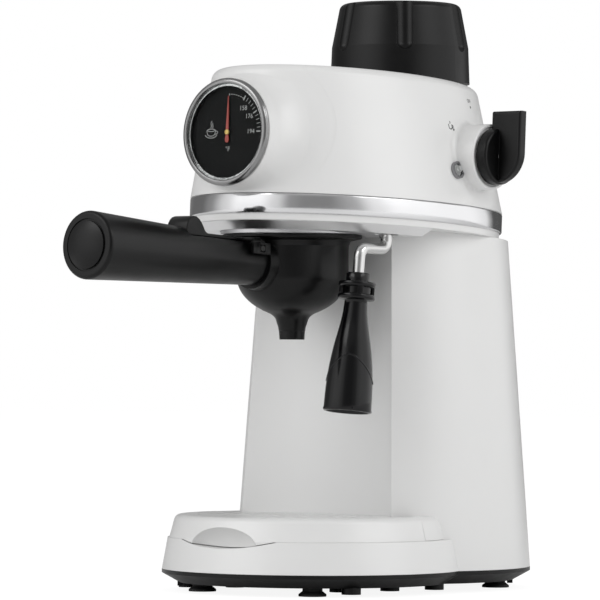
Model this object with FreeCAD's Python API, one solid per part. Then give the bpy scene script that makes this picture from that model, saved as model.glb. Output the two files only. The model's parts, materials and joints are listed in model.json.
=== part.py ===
import FreeCAD, Part
import math
import os

from FreeCAD import Vector

os.makedirs("parts", exist_ok=True)

# A steam espresso machine: a tilted head with the boiler behind it, a column, a round base with a drip tray,
# a portafilter that turns into the group, a steam wand and a screw cap. Millimetres, Z up, front towards -Y.
# Until the last section everything is measured from the axis of the group, with the feet standing on Z = 0.

UP = Vector(0, 0, 1)
RIGHT = Vector(1, 0, 0)
BACK = Vector(0, 1, 0)
FRONT = Vector(0, -1, 0)
FAR = 400.0

# General clearances and walls
wall = 2.6
gap = 0.4
running_clearance = 0.05

# Feet and base plate
foot_height = 4.5
foot_radius = 7.2
foot_stem_radius = 3.0
plate_height = 7.0
plate_floor = 2.5
plate_bevel = 9.0
plate_bevel_height = 5.0
base_screw_radius = 1.5
screw_boss_radius = 4.0
stub_radius = 5.0
stub_clearance = 1.2

# Round base in front of the column
base_radius = 79.0
base_centre_y = 18.0
base_height = 16.5
base_draft = 3.0

# Column
column_half_width = base_radius
column_half_depth = 78.5
column_centre_y = 78.6
column_height = 179.2
column_draft_deg = 4.15
crease_half_width = 51.5
panel_scoop = 11.0
rear_cover_half_width = 48.0
rear_cover_bottom = 46.0
rear_cover_below_head = 22.7
rear_ledge = 6.0

# Drip tray and grille
tray_radius = 73.5
tray_centre_y = 15.5
tray_height = 12.0
tray_draft = 3.2
tray_edge_round = 3.5
tray_rim = 11.5
seam_dip = 3.4
seam_dip_half_width = 30.0
thumb_half_width = 22.5
thumb_height = 10.4
thumb_depth = 8.5
grille_thickness = 2.6
grille_ledge = 3.0
grille_bar = 4.4
grille_slot = 4.6

# Head: floor plate, chrome band and upper shell share one tilt
head_tilt_deg = 2.87
head_half_width = 75.0
head_half_depth = 94.0
head_centre_y = 45.8
head_floor_thickness = 3.5
head_floor_inset = 1.2
band_height = 10.3
band_proud = 0.5
band_flare = 0.9
band_thickness = 2.4
shell_height = 67.0
shell_side_draft_deg = 13.0
shell_end_draft_deg = 8.5
shell_lean = 5.2
shell_edge_round = 4.5

# Group and its cover dish
dish_drop = 4.2
dish_inset = 3.0
dish_slope = 7.0
dish_thickness = 1.6
group_outer_radius = 37.6
group_wall = 3.6
group_ledge_width = 3.8
group_bore_radius = group_outer_radius - group_wall
group_ledge_radius = group_bore_radius - group_ledge_width
group_ledge_height = 2.2
group_height = 13.5
group_top_thickness = 4.0
group_ledge_span_deg = 54.0
group_gasket_thickness = 2.4
screen_margin = 6.6
screen_radius = group_ledge_radius - screen_margin
screen_thickness = 0.9

# Portafilter
locked_angle_deg = -2.6
bowl_margin = 0.8
bowl_radius = group_ledge_radius - bowl_margin
bowl_straight = 20.5
bowl_dome = 22.0
bowl_wall = 3.0
bowl_flange_margin = 1.1
bowl_flange_radius = group_outer_radius - bowl_flange_margin
bowl_flange_thickness = 1.9
lug_margin = 0.6
lug_radius = group_bore_radius - lug_margin
lug_height = 2.4
lug_span_deg = 48.0
basket_wall = 0.8
basket_depth = 22.0
spout_top_radius = 7.35
spout_bottom_radius = 6.5
spout_length = 11.0
spout_bore_radius = 3.6

# Handle and thumb latch
handle_tilt_deg = 3.0
handle_axis_drop = 16.6
handle_start = 32.0
handle_length = 123.0
handle_neck_radius = 11.7
handle_end_radius = 17.3
handle_dome = 3.2
boss_radius = 13.6
latch_flat_height = 9.6
latch_start = 42.0
latch_length = 48.0
latch_width = 14.0
latch_thickness = 1.9
hump_height = 9.6
hump_length = 23.0
latch_arm_length = 13.0
latch_arm_height = 6.0
latch_arm_thickness = 2.2
latch_pin_radius = 1.5
latch_pin_from_axis = 40.0
latch_pin_height = 6.6

# Thermometer in the front of the head
gauge_front_y = -59.3
gauge_height = 44.3
gauge_radius = 27.8
gauge_bezel_depth = 3.2
gauge_bezel_lip = 2.9
gauge_face_recess = 1.0
gauge_glass_thickness = 0.8
gauge_dial_room = 2.2
needle_hub_thickness = 0.5
needle_clearance = 0.6
gauge_dial_thickness = 0.8
gauge_case_depth = 16.0
gauge_case_wall = 1.2
gauge_boss_margin = 0.5
gauge_boss_flare = 32.0
needle_length = 18.6
needle_tail = 7.0
needle_thickness = 0.5
needle_hub_radius = 2.3
needle_spindle_radius = 0.9

# Boiler, cap and valve
boiler_y = 91.7
boiler_radius = 34.0
boiler_wall = 3.0
boiler_body_height = 72.0
boiler_flange_height = 24.0
boiler_flange_radius = 36.2
boiler_flange_thickness = 3.0
boiler_seal_thickness = 1.5
boiler_cover_radius = 31.0
boiler_cover_height = 24.0
boiler_cover_slope = 8.0
neck_radius = 25.0
neck_bore_radius = 20.0
neck_above_top = 10.0
cap_radius = 37.5
cap_top_radius = 32.2
cap_height = 43.0
cap_edge_round = 4.0
cap_clearance = 0.8
cap_gasket_thickness = 2.0
flute_count = 6
flute_radius = 5.4
flute_depth = 2.6
flute_length = 27.0
flute_phase_deg = 11.4
plug_length = 16.0
plug_wall = 3.0
relief_radius = 4.0

# Knob, pilot lamp and steam valve on the right-hand side
knob_y = 65.0
knob_height_above_floor = 40.3
knob_face_x = 80.0
knob_boss_radius = 17.2
knob_boss_flare = 14.0
knob_radius = 14.7
knob_disc_thickness = 6.0
knob_gap = 0.5
blade_thickness = 6.0
blade_reach = 19.5
blade_above = 23.6
spindle_radius = 3.2
valve_length = 24.0
valve_half_width = 9.0
valve_face_x = 58.0
nipple_radius = 4.5
nipple_bore_radius = 1.8
lamp_y = 46.5
lamp_height_above_floor = 31.8
lamp_radius = 4.6
lamp_lens_radius = 3.3
lamp_proud = 1.6
lamp_seat = 0.3

# Steam wand and frothing sleeve
wand_x = 52.0
wand_y = 13.0
wand_radius = 3.0
wand_bore_radius = 1.6
wand_bend = 5.0
wand_drop = 12.2
wand_forward = 22.0
wand_lean_deg = 7.0
wand_tip_length = 60.0
socket_radius = 5.9
socket_flange_thickness = 1.6
sleeve_start = 13.0
sleeve_length = 71.6
sleeve_top_radius = 6.1
sleeve_bottom_radius = 12.4
sleeve_flange_radius = 9.8
sleeve_flange_thickness = 2.0
sleeve_grip_height = 6.0
sleeve_wall = 1.6
wand_screw_radius = 1.9

# Pipes and electrical pieces
pipe_radius = 3.0
element_tube_radius = 3.2
thermostat_radius = 8.0
thermostat_height = 7.0
fuse_radius = 3.0
gland_radius = 6.5
gland_bore_radius = 3.6
gland_height = 12.0
gland_flange_radius = 9.5

# Levels that follow from the sizes above
z_plate_bottom = foot_height
z_plate_top = z_plate_bottom + plate_height
z_deck = z_plate_top + base_height
z_tray_top = z_deck + tray_height
z_floor = z_plate_top + column_height
rear_cover_height = z_floor - rear_cover_below_head - rear_cover_bottom
h_band = head_floor_thickness
h_shell = h_band + band_height
h_top = h_shell + shell_height
z_group = z_floor - dish_drop
z_group_roof = z_group + group_height - group_top_thickness
z_bowl_top = z_group - gap
z_bowl_bottom = z_bowl_top - bowl_straight - bowl_dome
z_lug_bottom = z_group + group_ledge_height + gap
z_collar_top = z_lug_bottom + lug_height
tilt = math.radians(head_tilt_deg)


def cylinder(radius, height, x, y, z, axis=UP):
    """Round bar from a point along an axis."""
    return Part.makeCylinder(radius, height, Vector(x, y, z), axis)


def ring(outer, inner, height, x, y, z, axis=UP):
    """Round tube from a point along an axis."""
    return cylinder(outer, height, x, y, z, axis).cut(cylinder(inner, height, x, y, z, axis))


def block(x0, x1, y0, y1, z0, z1):
    """Box between two corners."""
    return Part.makeBox(x1 - x0, y1 - y0, z1 - z0, Vector(x0, y0, z0))


def join(shapes):
    """One solid out of several that touch or overlap."""
    first = shapes[0]
    return first.fuse(shapes[1:]).removeSplitter()


def turned(profile, x=0.0, y=0.0):
    """Solid of revolution about the vertical axis at x, y; the profile lists radius and height."""
    points = [Vector(x + radius, y, z) for radius, z in profile]
    face = Part.Face(Part.makePolygon(points + points[:1]))
    return face.revolve(Vector(x, y, 0), UP, 360)


def turned_edges(edges, x=0.0, y=0.0):
    """Solid of revolution about the vertical axis at x, y from edges drawn in the XZ plane."""
    face = Part.Face(Part.Wire(Part.__sortEdges__(edges)))
    return face.revolve(Vector(x, y, 0), UP, 360)


def ellipse_arc(half_x, half_y, centre_y, z, start_deg=0.0, end_deg=360.0):
    """Edge of an ellipse in a level plane; angles are counted from +X."""
    centre = Vector(0, centre_y, z)
    start = math.radians(start_deg)
    end = math.radians(end_deg)
    if half_x >= half_y:
        curve = Part.Ellipse(centre, half_x, half_y)
    else:
        curve = Part.Ellipse(centre + BACK * half_y, centre - RIGHT * half_x, centre)
        start -= math.pi / 2
        end -= math.pi / 2
    if end_deg - start_deg >= 360.0:
        return curve.toShape()
    return Part.ArcOfEllipse(curve, start, end).toShape()


def ellipse_wire(half_x, half_y, centre_y, z):
    """Closed wire of an ellipse in a level plane."""
    return Part.Wire(ellipse_arc(half_x, half_y, centre_y, z))


def loft(*wires):
    """Solid with straight sides through closed wires."""
    return Part.makeLoft(list(wires), True, True)


def lean(shape):
    """Tilts a piece of the head about the group axis at the floor plate, front up."""
    moved = shape.copy()
    moved.rotate(Vector(0, 0, z_floor), RIGHT, -head_tilt_deg)
    return moved


def lean_point(x, y, height):
    """Place in the machine of a point given in the untilted head above its floor plate."""
    return Vector(
        x,
        y * math.cos(tilt) + height * math.sin(tilt),
        z_floor - y * math.sin(tilt) + height * math.cos(tilt),
    )


def above_head_plane(height):
    """Everything above a plane of the head that lies this far above its floor plate."""
    space = block(-FAR, FAR, -FAR, FAR, z_floor + height, z_floor + height + FAR)
    return lean(space)


def head_plane_z(height, y):
    """Level of such a plane at a given depth."""
    return z_floor + height / math.cos(tilt) - y * math.tan(tilt)


def swept(points, bend, radius):
    """Round bar along straight runs joined by arcs."""
    edges = []
    start = points[0]
    for before, corner, after in zip(points, points[1:], points[2:]):
        into = (corner - before).normalize()
        out = (after - corner).normalize()
        half = into.getAngle(out) / 2
        setback = bend * math.tan(half)
        inward = (out - into).normalize()
        centre = corner + inward * (bend / math.cos(half))
        arc_start = corner - into * setback
        arc_end = corner + out * setback
        edges.append(Part.LineSegment(start, arc_start).toShape())
        edges.append(Part.Arc(arc_start, centre - inward * bend, arc_end).toShape())
        start = arc_end
    edges.append(Part.LineSegment(start, points[-1]).toShape())
    path = Part.Wire(edges)
    direction = (points[1] - points[0]).normalize()
    outline = Part.Wire(Part.Circle(points[0], direction, radius).toShape())
    return path.makePipeShell([outline], True, True)


def rounded(shape, radius, wanted):
    """Rounds the edges that a test picks out."""
    edges = [edge for edge in shape.Edges if wanted(edge)]
    return shape.makeFillet(radius, edges)


# Base


def foot_places():
    """Centres of the rubber feet."""
    front_x = 0.465 * base_radius
    front_y = base_centre_y - 0.58 * base_radius
    back_x = 0.62 * column_half_width
    back_y = column_centre_y + 0.45 * column_half_depth
    return [(front_x, front_y), (-front_x, front_y), (back_x, back_y), (-back_x, back_y)]


def front_screw_places():
    """Base screws that reach up under the deck of the base."""
    return [(side * 0.7 * base_radius, base_centre_y - 13.0) for side in (1, -1)]


def back_screw_places():
    """Base screws that reach into bosses on the back wall of the column."""
    return [(side * 38.0, column_centre_y + column_half_depth - 27.0) for side in (1, -1)]


def screw_places():
    """Centres of all the base screws."""
    return front_screw_places() + back_screw_places()


def stub_places():
    """Centres of the short stubs under the base plate that stop short of the worktop."""
    half = [
        (0.69 * base_radius, base_centre_y - 0.46 * base_radius),
        (0.59 * base_radius, base_centre_y + 0.08 * base_radius),
        (0.44 * base_radius, base_centre_y - 0.27 * base_radius),
        (0.7 * column_half_width, column_centre_y - 0.35 * column_half_depth),
        (0.26 * column_half_width, column_centre_y + 0.79 * column_half_depth),
    ]
    return half + [(-x, y) for x, y in half]


def base_outline_parts(inset_bottom, inset_top, z, height):
    """Round base and column footprint as two solids, with their own inset below and above."""
    front = loft(
        ellipse_wire(base_radius - inset_bottom, base_radius - inset_bottom, base_centre_y, z),
        ellipse_wire(base_radius - inset_top, base_radius - inset_top, base_centre_y, z + height),
    )
    back = loft(
        ellipse_wire(column_half_width - inset_bottom, column_half_depth - inset_bottom, column_centre_y, z),
        ellipse_wire(column_half_width - inset_top, column_half_depth - inset_top, column_centre_y, z + height),
    )
    return [front, back]


def base_outline(inset_bottom, inset_top, z, height):
    """Round base and column footprint as one solid."""
    return join(base_outline_parts(inset_bottom, inset_top, z, height))


def make_base_plate():
    """Black base plate: bevelled below, hollow above, with stubs and holes for feet and screws."""
    bevel = base_outline(plate_bevel, 0.0, z_plate_bottom, plate_bevel_height)
    rim_height = plate_height - plate_bevel_height
    rim = base_outline(0.0, 0.0, z_plate_bottom + plate_bevel_height, rim_height)
    plate = join([bevel, rim])
    floor_top = z_plate_bottom + plate_floor
    for pocket in base_outline_parts(plate_bevel, plate_bevel, floor_top, plate_height):
        plate = plate.cut(pocket)
    stub_height = floor_top - stub_clearance
    stubs = [cylinder(stub_radius, stub_height, x, y, stub_clearance) for x, y in stub_places()]
    plate = join([plate] + stubs)
    for x, y in foot_places():
        plate = plate.cut(cylinder(foot_stem_radius, plate_height, x, y, z_plate_bottom))
    for x, y in screw_places():
        plate = plate.cut(cylinder(base_screw_radius, plate_height, x, y, z_plate_bottom))
        plate = plate.cut(cylinder(2 * base_screw_radius, plate_floor / 2, x, y, z_plate_bottom))
    return plate


def make_feet():
    """Rubber feet with a stem and a bead above the plate floor."""
    feet = []
    floor_top = z_plate_bottom + plate_floor
    for x, y in foot_places():
        feet.append(turned([
            (0.0, 0.0),
            (foot_radius, 0.0),
            (foot_radius, 0.25 * foot_height),
            (0.72 * foot_radius, 0.6 * foot_height),
            (0.72 * foot_radius, foot_height),
            (foot_stem_radius, foot_height),
            (foot_stem_radius, floor_top),
            (1.25 * foot_stem_radius, floor_top),
            (0.8 * foot_stem_radius, floor_top + 2.0),
            (0.0, floor_top + 2.0),
        ], x, y))
    return Part.makeCompound(feet)


def make_base_screws():
    """Screws that hold the base plate to the body."""
    screws = []
    seat = z_plate_bottom + plate_floor / 2
    for x, y in screw_places():
        screws.append(turned([
            (0.0, z_plate_bottom),
            (2 * base_screw_radius, z_plate_bottom),
            (2 * base_screw_radius, seat),
            (base_screw_radius, seat),
            (base_screw_radius, z_plate_top + 0.5 * base_height),
            (0.0, z_plate_top + 0.5 * base_height),
        ], x, y))
    return Part.makeCompound(screws)


# Column and base moulding


def column_wire(z, inset):
    """Section of the column: an ellipse with a scooped front panel between two creases."""
    shrink = (z - z_plate_top) * math.tan(math.radians(column_draft_deg)) + inset
    half_x = column_half_width - shrink
    half_y = column_half_depth - shrink
    ratio = crease_half_width / column_half_width
    crease_x = ratio * half_x
    crease_deg = math.degrees(math.acos(ratio))
    crease_y = column_centre_y - half_y * math.sqrt(1 - ratio * ratio)
    side = ellipse_arc(half_x, half_y, column_centre_y, z, -crease_deg, 180.0 + crease_deg)
    left = Vector(-crease_x, crease_y, z)
    middle = Vector(0, crease_y + panel_scoop, z)
    right = Vector(crease_x, crease_y, z)
    panel = Part.Arc(left, middle, right).toShape()
    return Part.Wire([side, panel])


def crease_depth(z):
    """Depth of the two creases, the foremost lines of the column, at a level."""
    shrink = (z - z_plate_top) * math.tan(math.radians(column_draft_deg))
    ratio = crease_half_width / column_half_width
    return column_centre_y - (column_half_depth - shrink) * math.sqrt(1 - ratio * ratio)


def behind(y):
    """Everything behind a depth."""
    return block(-FAR, FAR, y, FAR, -FAR, FAR)


def column_solid(inset, z0, z1):
    """Column between two levels, drawn in by an inset all round."""
    return loft(column_wire(z0, inset), column_wire(z1, inset))


def seam_cylinder(extra):
    """Round keel along Y that gives the seam between tray and base its dip at the front."""
    radius = (seam_dip_half_width ** 2 + seam_dip ** 2) / (2 * seam_dip)
    return cylinder(radius + extra, 2 * FAR, 0, -FAR, z_deck - seam_dip + radius, BACK)


def round_base(inset, top_inset):
    """Drafted round base up to the deck."""
    return Part.makeCone(
        base_radius - inset,
        base_radius - base_draft - inset,
        base_height - top_inset,
        Vector(0, base_centre_y, z_plate_top),
        UP,
    )


def rear_window(margin):
    """Box that cuts the rear cover out of the column wall."""
    return block(
        -rear_cover_half_width - margin,
        rear_cover_half_width + margin,
        column_centre_y,
        FAR,
        rear_cover_bottom - margin,
        rear_cover_bottom + rear_cover_height + margin,
    )


def column_shell():
    """Hollow column alone, cut off under the tilted head."""
    top = z_floor + 8.0
    shell = column_solid(0.0, z_plate_top, top).cut(column_solid(wall, z_plate_top, top))
    return shell.cut(above_head_plane(0.0))


def make_base_shell():
    """White moulding of the round base in front of the column, with its deck and two screw bosses."""
    top = z_floor
    shell = round_base(0.0, 0.0).cut(round_base(wall, wall).cut(seam_cylinder(wall)))
    front_keel = seam_cylinder(gap).cut(column_solid(-gap, z_plate_top, top))
    shell = shell.cut(front_keel.common(block(-FAR, FAR, -FAR, column_centre_y, 0, z_deck + 1.0)))
    pieces = [shell.cut(column_solid(0.0, z_plate_top, top))]
    boss_bottom = z_plate_bottom + plate_floor
    for x, y in front_screw_places():
        pieces.append(cylinder(screw_boss_radius, z_deck - wall - boss_bottom + 0.5, x, y, boss_bottom))
    shell = join(pieces)
    for x, y in front_screw_places():
        shell = shell.cut(cylinder(base_screw_radius, z_plate_top + 0.5 * base_height, x, y, 0))
    solids = sorted(shell.Solids, key=lambda solid: solid.Volume)
    return solids[-1]


def make_body_shell():
    """White moulding of the column, with rear window, ledges and screw bosses."""
    inside = column_solid(wall, z_plate_top, z_floor).cut(column_solid(2 * wall, z_plate_top, z_floor))
    ledge = inside.common(rear_window(rear_ledge)).cut(rear_window(-rear_ledge))
    sill_half = crease_half_width - wall - 1.4
    sill_front = crease_depth(z_tray_top)
    sill = block(-sill_half, sill_half, sill_front, sill_front + panel_scoop + wall, z_deck, z_tray_top)
    sill = sill.cut(column_solid(0.5 * wall, z_plate_top, z_floor))
    pieces = [column_shell().cut(rear_window(0.0)), ledge, sill]
    boss_bottom = z_plate_bottom + plate_floor
    for x, y in back_screw_places():
        pieces.append(cylinder(screw_boss_radius, base_height, x, y, boss_bottom))
        rib = block(x - 1.5, x + 1.5, y, FAR, z_plate_top, boss_bottom + base_height)
        pieces.append(rib.common(column_solid(0.5 * wall, z_plate_top, z_deck)))
    shell = join(pieces)
    for x, y in back_screw_places():
        shell = shell.cut(cylinder(base_screw_radius, z_plate_top + 0.5 * base_height, x, y, 0))
    for z in rear_screw_levels():
        shell = shell.cut(cylinder(base_screw_radius, FAR, 0, column_centre_y, z, BACK))
    return shell.cut(gland_hole())


def rear_screw_levels():
    """Levels of the two rear cover screws."""
    return [rear_cover_bottom + 0.5 * rear_ledge, rear_cover_bottom + rear_cover_height - 0.5 * rear_ledge]


def column_back_y(z):
    """Depth of the outer back wall of the column at a level."""
    return column_centre_y + column_half_depth - (z - z_plate_top) * math.tan(math.radians(column_draft_deg))


def make_rear_cover():
    """Rear cover that fills the window in the column and rests on its ledges."""
    cover = column_shell().common(rear_window(-gap))
    for z in rear_screw_levels():
        seat = column_back_y(z) - 0.6 * wall
        cover = cover.cut(cylinder(base_screw_radius, FAR, 0, column_centre_y, z, BACK))
        cover = cover.cut(cylinder(2 * base_screw_radius, FAR, 0, seat, z, BACK))
    return cover


def make_rear_screws():
    """Screws that hold the rear cover."""
    screws = []
    for z in rear_screw_levels():
        seat = column_back_y(z) - 0.6 * wall
        shank = cylinder(base_screw_radius, 9.0, 0, seat - 9.0, z, BACK)
        head = cylinder(2 * base_screw_radius, 0.6 * wall, 0, seat, z, BACK)
        screws.append(join([shank, head]))
    return Part.makeCompound(screws)


def gland_level():
    """Level of the cord gland in the back wall."""
    return z_plate_top + gland_height


def gland_hole():
    """Hole for the cord gland."""
    return cylinder(gland_radius, FAR, 0, column_centre_y, gland_level(), BACK)


def make_cord_gland():
    """Gland for the mains lead: flange outside, barrel through the wall, nut inside."""
    z = gland_level()
    face = column_back_y(z)
    barrel = cylinder(gland_radius, wall + 11.0, 0, face - wall - 8.0, z, BACK)
    flange = cylinder(gland_flange_radius, 8.0, 0, face - 4.0, z, BACK)
    flange = flange.cut(column_solid(0.0, z_plate_top, z_floor))
    nut = cylinder(gland_flange_radius, 8.0, 0, face - wall - 4.0, z, BACK)
    nut = nut.common(column_solid(wall, z_plate_top, z_floor))
    gland = join([barrel, flange, nut])
    return gland.cut(cylinder(gland_bore_radius, FAR, 0, column_centre_y, z, BACK))


# Drip tray and grille


def tray_back_y():
    """Depth of the straight back of the tray, just in front of the creases."""
    return crease_depth(z_deck - seam_dip) - gap


def tray_opening_radius():
    """Radius of the opening in the top of the tray."""
    return tray_radius - tray_draft - tray_rim


def make_drip_tray():
    """Drip tray with a keel below, a thumb recess in front and a ledge for the grille."""
    body = Part.makeCone(
        tray_radius, tray_radius - tray_draft, tray_height, Vector(0, tray_centre_y, z_deck), UP
    )
    body = rounded(body, tray_edge_round, lambda edge: edge.BoundBox.ZMin > z_tray_top - 0.01)
    keel = cylinder(tray_radius, seam_dip + 1.0, 0, tray_centre_y, z_deck - seam_dip - 1.0)
    keel = keel.common(seam_cylinder(0.0))
    body = join([body, keel])
    basin_radius = tray_opening_radius() - grille_ledge
    basin_bottom = z_deck + 1.6
    basin = cylinder(basin_radius, tray_height, 0, tray_centre_y, basin_bottom)
    recess = cylinder(tray_opening_radius(), tray_height, 0, tray_centre_y, z_tray_top - grille_thickness)
    back_stop = behind(tray_back_y() - wall)
    body = body.cut(basin.cut(back_stop))
    body = body.cut(recess.cut(back_stop))
    scoop = Part.makeSphere(1.0)
    matrix = FreeCAD.Matrix()
    matrix.scale(thumb_half_width, thumb_depth, thumb_height)
    matrix.move(Vector(0, tray_centre_y - tray_radius + 1.0, z_deck - seam_dip))
    body = body.cut(scoop.transformGeometry(matrix))
    return body.cut(behind(tray_back_y()))


def make_drip_grille():
    """Slotted grille that drops into the top of the tray."""
    radius = tray_opening_radius() - gap
    bottom = z_tray_top - grille_thickness
    plate = cylinder(radius, grille_thickness, 0, tray_centre_y, bottom)
    back_y = tray_back_y() - wall - gap
    plate = plate.cut(behind(back_y))
    pitch = grille_bar + grille_slot
    count = int((radius - 2 * grille_bar) / pitch)
    panel_y = back_y - grille_bar
    for index in range(-count, count + 1):
        x = index * pitch
        half_chord = math.sqrt((radius - grille_bar) ** 2 - x * x)
        front_y = tray_centre_y - half_chord
        slot = block(x - grille_slot / 2, x + grille_slot / 2, front_y, panel_y, bottom - 1.0, z_tray_top + 1.0)
        middle = 0.5 * (front_y + panel_y)
        bridge = block(-FAR, FAR, middle - grille_bar / 2, middle + grille_bar / 2, 0, FAR)
        plate = plate.cut(slot.cut(bridge))
    return plate


# Head


def head_wire(height, inset):
    """Section of the head at a height above the floor plate, before the tilt."""
    rise = max(0.0, height - h_shell)
    half_x = head_half_width - rise * math.tan(math.radians(shell_side_draft_deg)) - inset
    half_y = head_half_depth - rise * math.tan(math.radians(shell_end_draft_deg)) - inset
    centre_y = head_centre_y - shell_lean * rise / shell_height
    return ellipse_wire(half_x, half_y, centre_y, z_floor + height)


def make_head_floor():
    """White floor plate of the head; its edge shows as a lip under the band."""
    plate = loft(head_wire(0.0, head_floor_inset + 0.4), head_wire(h_band, head_floor_inset))
    plate = lean(plate)
    plate = plate.cut(cylinder(group_outer_radius + gap, FAR, 0, 0, z_floor - FAR / 2))
    plate = plate.cut(cylinder(boiler_radius + 2.0, FAR, 0, boiler_y, z_floor - FAR / 2))
    return plate.cut(cylinder(socket_radius, FAR, wand_x, wand_y, z_floor - FAR / 2))


def make_chrome_band():
    """Chrome band between the floor plate and the upper shell."""
    outer = loft(head_wire(h_band, -band_proud - band_flare), head_wire(h_shell, -band_proud))
    inner = loft(head_wire(h_band, band_thickness), head_wire(h_shell, band_thickness))
    return lean(outer.cut(inner))


def turned_along(profile, origin, axis):
    """Solid of revolution about an axis; the profile lists radius and distance along it."""
    shape = turned(profile)
    shape.rotate(Vector(0, 0, 0), UP.cross(axis), 90.0)
    shape.translate(origin)
    return shape


def flare(radius, length, depth, origin, axis):
    """Round boss that widens smoothly into the wall behind it; the origin is its outer face."""
    start = Vector(radius, 0, 0)
    straight = Vector(radius, 0, -length)
    angle = math.radians(60.0)
    middle = Vector(radius + depth * (1 - math.cos(angle / 2)), 0, -length - depth * math.sin(angle / 2))
    end = Vector(radius + depth * (1 - math.cos(angle)), 0, -length - depth * math.sin(angle))
    edges = [
        Part.LineSegment(Vector(0, 0, 0), start).toShape(),
        Part.LineSegment(start, straight).toShape(),
        Part.Arc(straight, middle, end).toShape(),
        Part.LineSegment(end, Vector(0, 0, end.z)).toShape(),
        Part.LineSegment(Vector(0, 0, end.z), Vector(0, 0, 0)).toShape(),
    ]
    shape = turned_edges(edges)
    shape.rotate(Vector(0, 0, 0), UP.cross(axis), 90.0)
    shape.translate(origin)
    return shape


def gauge_origin():
    """Centre of the front rim of the thermometer, before the tilt."""
    return Vector(0, gauge_front_y, z_floor + gauge_height)


def knob_origin():
    """Centre of the knob boss face, before the tilt."""
    return Vector(knob_face_x, knob_y, z_floor + knob_height_above_floor)


def lamp_origin():
    """Axis point of the pilot lamp on the head wall, before the tilt."""
    rise = lamp_height_above_floor - h_shell
    x = head_half_width - rise * math.tan(math.radians(shell_side_draft_deg))
    return Vector(x, lamp_y, z_floor + lamp_height_above_floor)


def face_wall(shape):
    """Turns a piece of the lamp, drawn along +X, square to the drafted wall and tilts it with the head."""
    moved = shape.copy()
    moved.rotate(lamp_origin(), BACK, -shell_side_draft_deg)
    return lean(moved)


def make_head_shell():
    """White upper shell with the thermometer boss, the knob boss and the openings in it."""
    outer = loft(head_wire(h_shell, 0.0), head_wire(h_top, 0.0))
    outer = rounded(outer, shell_edge_round, lambda edge: edge.BoundBox.ZMin > z_floor + h_top - 0.01)
    inner = loft(head_wire(h_shell, wall), head_wire(h_top - wall, wall))
    gauge_face = gauge_origin() + BACK * gauge_bezel_depth
    knob_face = knob_origin()
    boss = flare(gauge_radius + gauge_boss_margin, 4.0, gauge_boss_flare, gauge_face, FRONT)
    boss = boss.common(block(-FAR, FAR, -FAR, FAR, 0, z_floor + h_top - shell_edge_round))
    knob_boss = flare(knob_boss_radius, 3.0, knob_boss_flare, knob_face, RIGHT)
    shell = join([outer, boss, knob_boss]).cut(inner)
    shell = shell.common(block(-FAR, FAR, -FAR, FAR, z_floor + h_shell, z_floor + h_top + 1.0))
    case_radius = gauge_radius - gauge_bezel_lip
    shell = shell.cut(cylinder(case_radius, gauge_case_depth + 12.0, 0, gauge_face.y - 1.0, gauge_face.z, BACK))
    shell = shell.cut(cylinder(spindle_radius + gap, 60.0, knob_face.x - 50.0, knob_y, knob_face.z, RIGHT))
    shell = lean(shell)
    lamp = lamp_origin()
    barrel = cylinder(lamp_lens_radius + 0.7, 40.0, lamp.x - 20.0, lamp.y, lamp.z, RIGHT)
    seat = cylinder(lamp_radius, 20.0, lamp.x - lamp_seat, lamp.y, lamp.z, RIGHT)
    shell = shell.cut(face_wall(barrel)).cut(face_wall(seat))
    return shell.cut(cylinder(neck_radius + 1.5, FAR, 0, boiler_y, z_floor + h_shell))


# Group under the head


def make_underside_dish():
    """Thin metal dish under the floor plate, round the group and in front of the column."""
    depth = dish_drop - 0.5 * gap
    outer = loft(head_wire(-depth, dish_inset + dish_slope), head_wire(0.0, dish_inset))
    inner = outer.translated(Vector(0, 0, dish_thickness))
    body = lean(outer.cut(inner))
    body = body.cut(cylinder(group_outer_radius + gap, FAR, 0, 0, 0))
    body = body.cut(behind(crease_depth(z_group - dish_thickness) - gap))
    body = body.cut(cylinder(socket_radius + gap, FAR, wand_x, wand_y, 0))
    solids = sorted(body.Solids, key=lambda solid: solid.Volume)
    return solids[-1]


def sector(outer, inner, height, z, middle_deg, span_deg):
    """Part of a ring between two angles."""
    bar = Part.makeCylinder(outer, height, Vector(0, 0, z), UP, span_deg)
    bar.rotate(Vector(0, 0, 0), UP, middle_deg - span_deg / 2)
    return bar.cut(cylinder(inner, height, 0, 0, z))


def lug_angles():
    """Middle angles of the three locking lugs."""
    return [90.0 + 120.0 * index for index in range(3)]


def make_group_ring():
    """Group casting: a ring with three ledges below and a roof above."""
    bottom = z_group
    body = ring(group_outer_radius, group_bore_radius, group_height, 0, 0, bottom)
    roof = cylinder(group_outer_radius, group_top_thickness, 0, 0, z_group_roof)
    foot_z = z_group_roof + 0.5 * group_top_thickness
    foot = ring(group_outer_radius + 6.0, group_outer_radius - 1.0, 0.5 * group_top_thickness, 0, 0, foot_z)
    pieces = [body, roof, foot]
    for angle in lug_angles():
        ledge = sector(
            group_bore_radius + 0.5, group_ledge_radius, group_ledge_height, bottom, angle, group_ledge_span_deg
        )
        pieces.append(ledge)
    for angle in lug_angles():
        post = cylinder(2.2, 40.0, group_outer_radius + 2.8, 0, z_group_roof + group_top_thickness - 40.0)
        post.rotate(Vector(0, 0, 0), UP, angle)
        pieces.append(post.common(above_head_plane(h_band)))
    body = join(pieces)
    feed = cylinder(1.5, FAR, 0, feed_pipe_y(), z_group)
    return body.cut(feed).cut(cylinder(1.5, group_height, 0, 0, z_group_roof - 1.0))


def feed_pipe_y():
    """Depth at which the feed pipe enters the roof of the group."""
    return 0.45 * screen_radius


def make_group_gasket():
    """Rubber ring in the roof of the group, above the rim of the basket."""
    outer = group_ledge_radius - 0.5
    return ring(outer, screen_radius + gap, group_gasket_thickness, 0, 0, z_group_roof - group_gasket_thickness)


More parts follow.
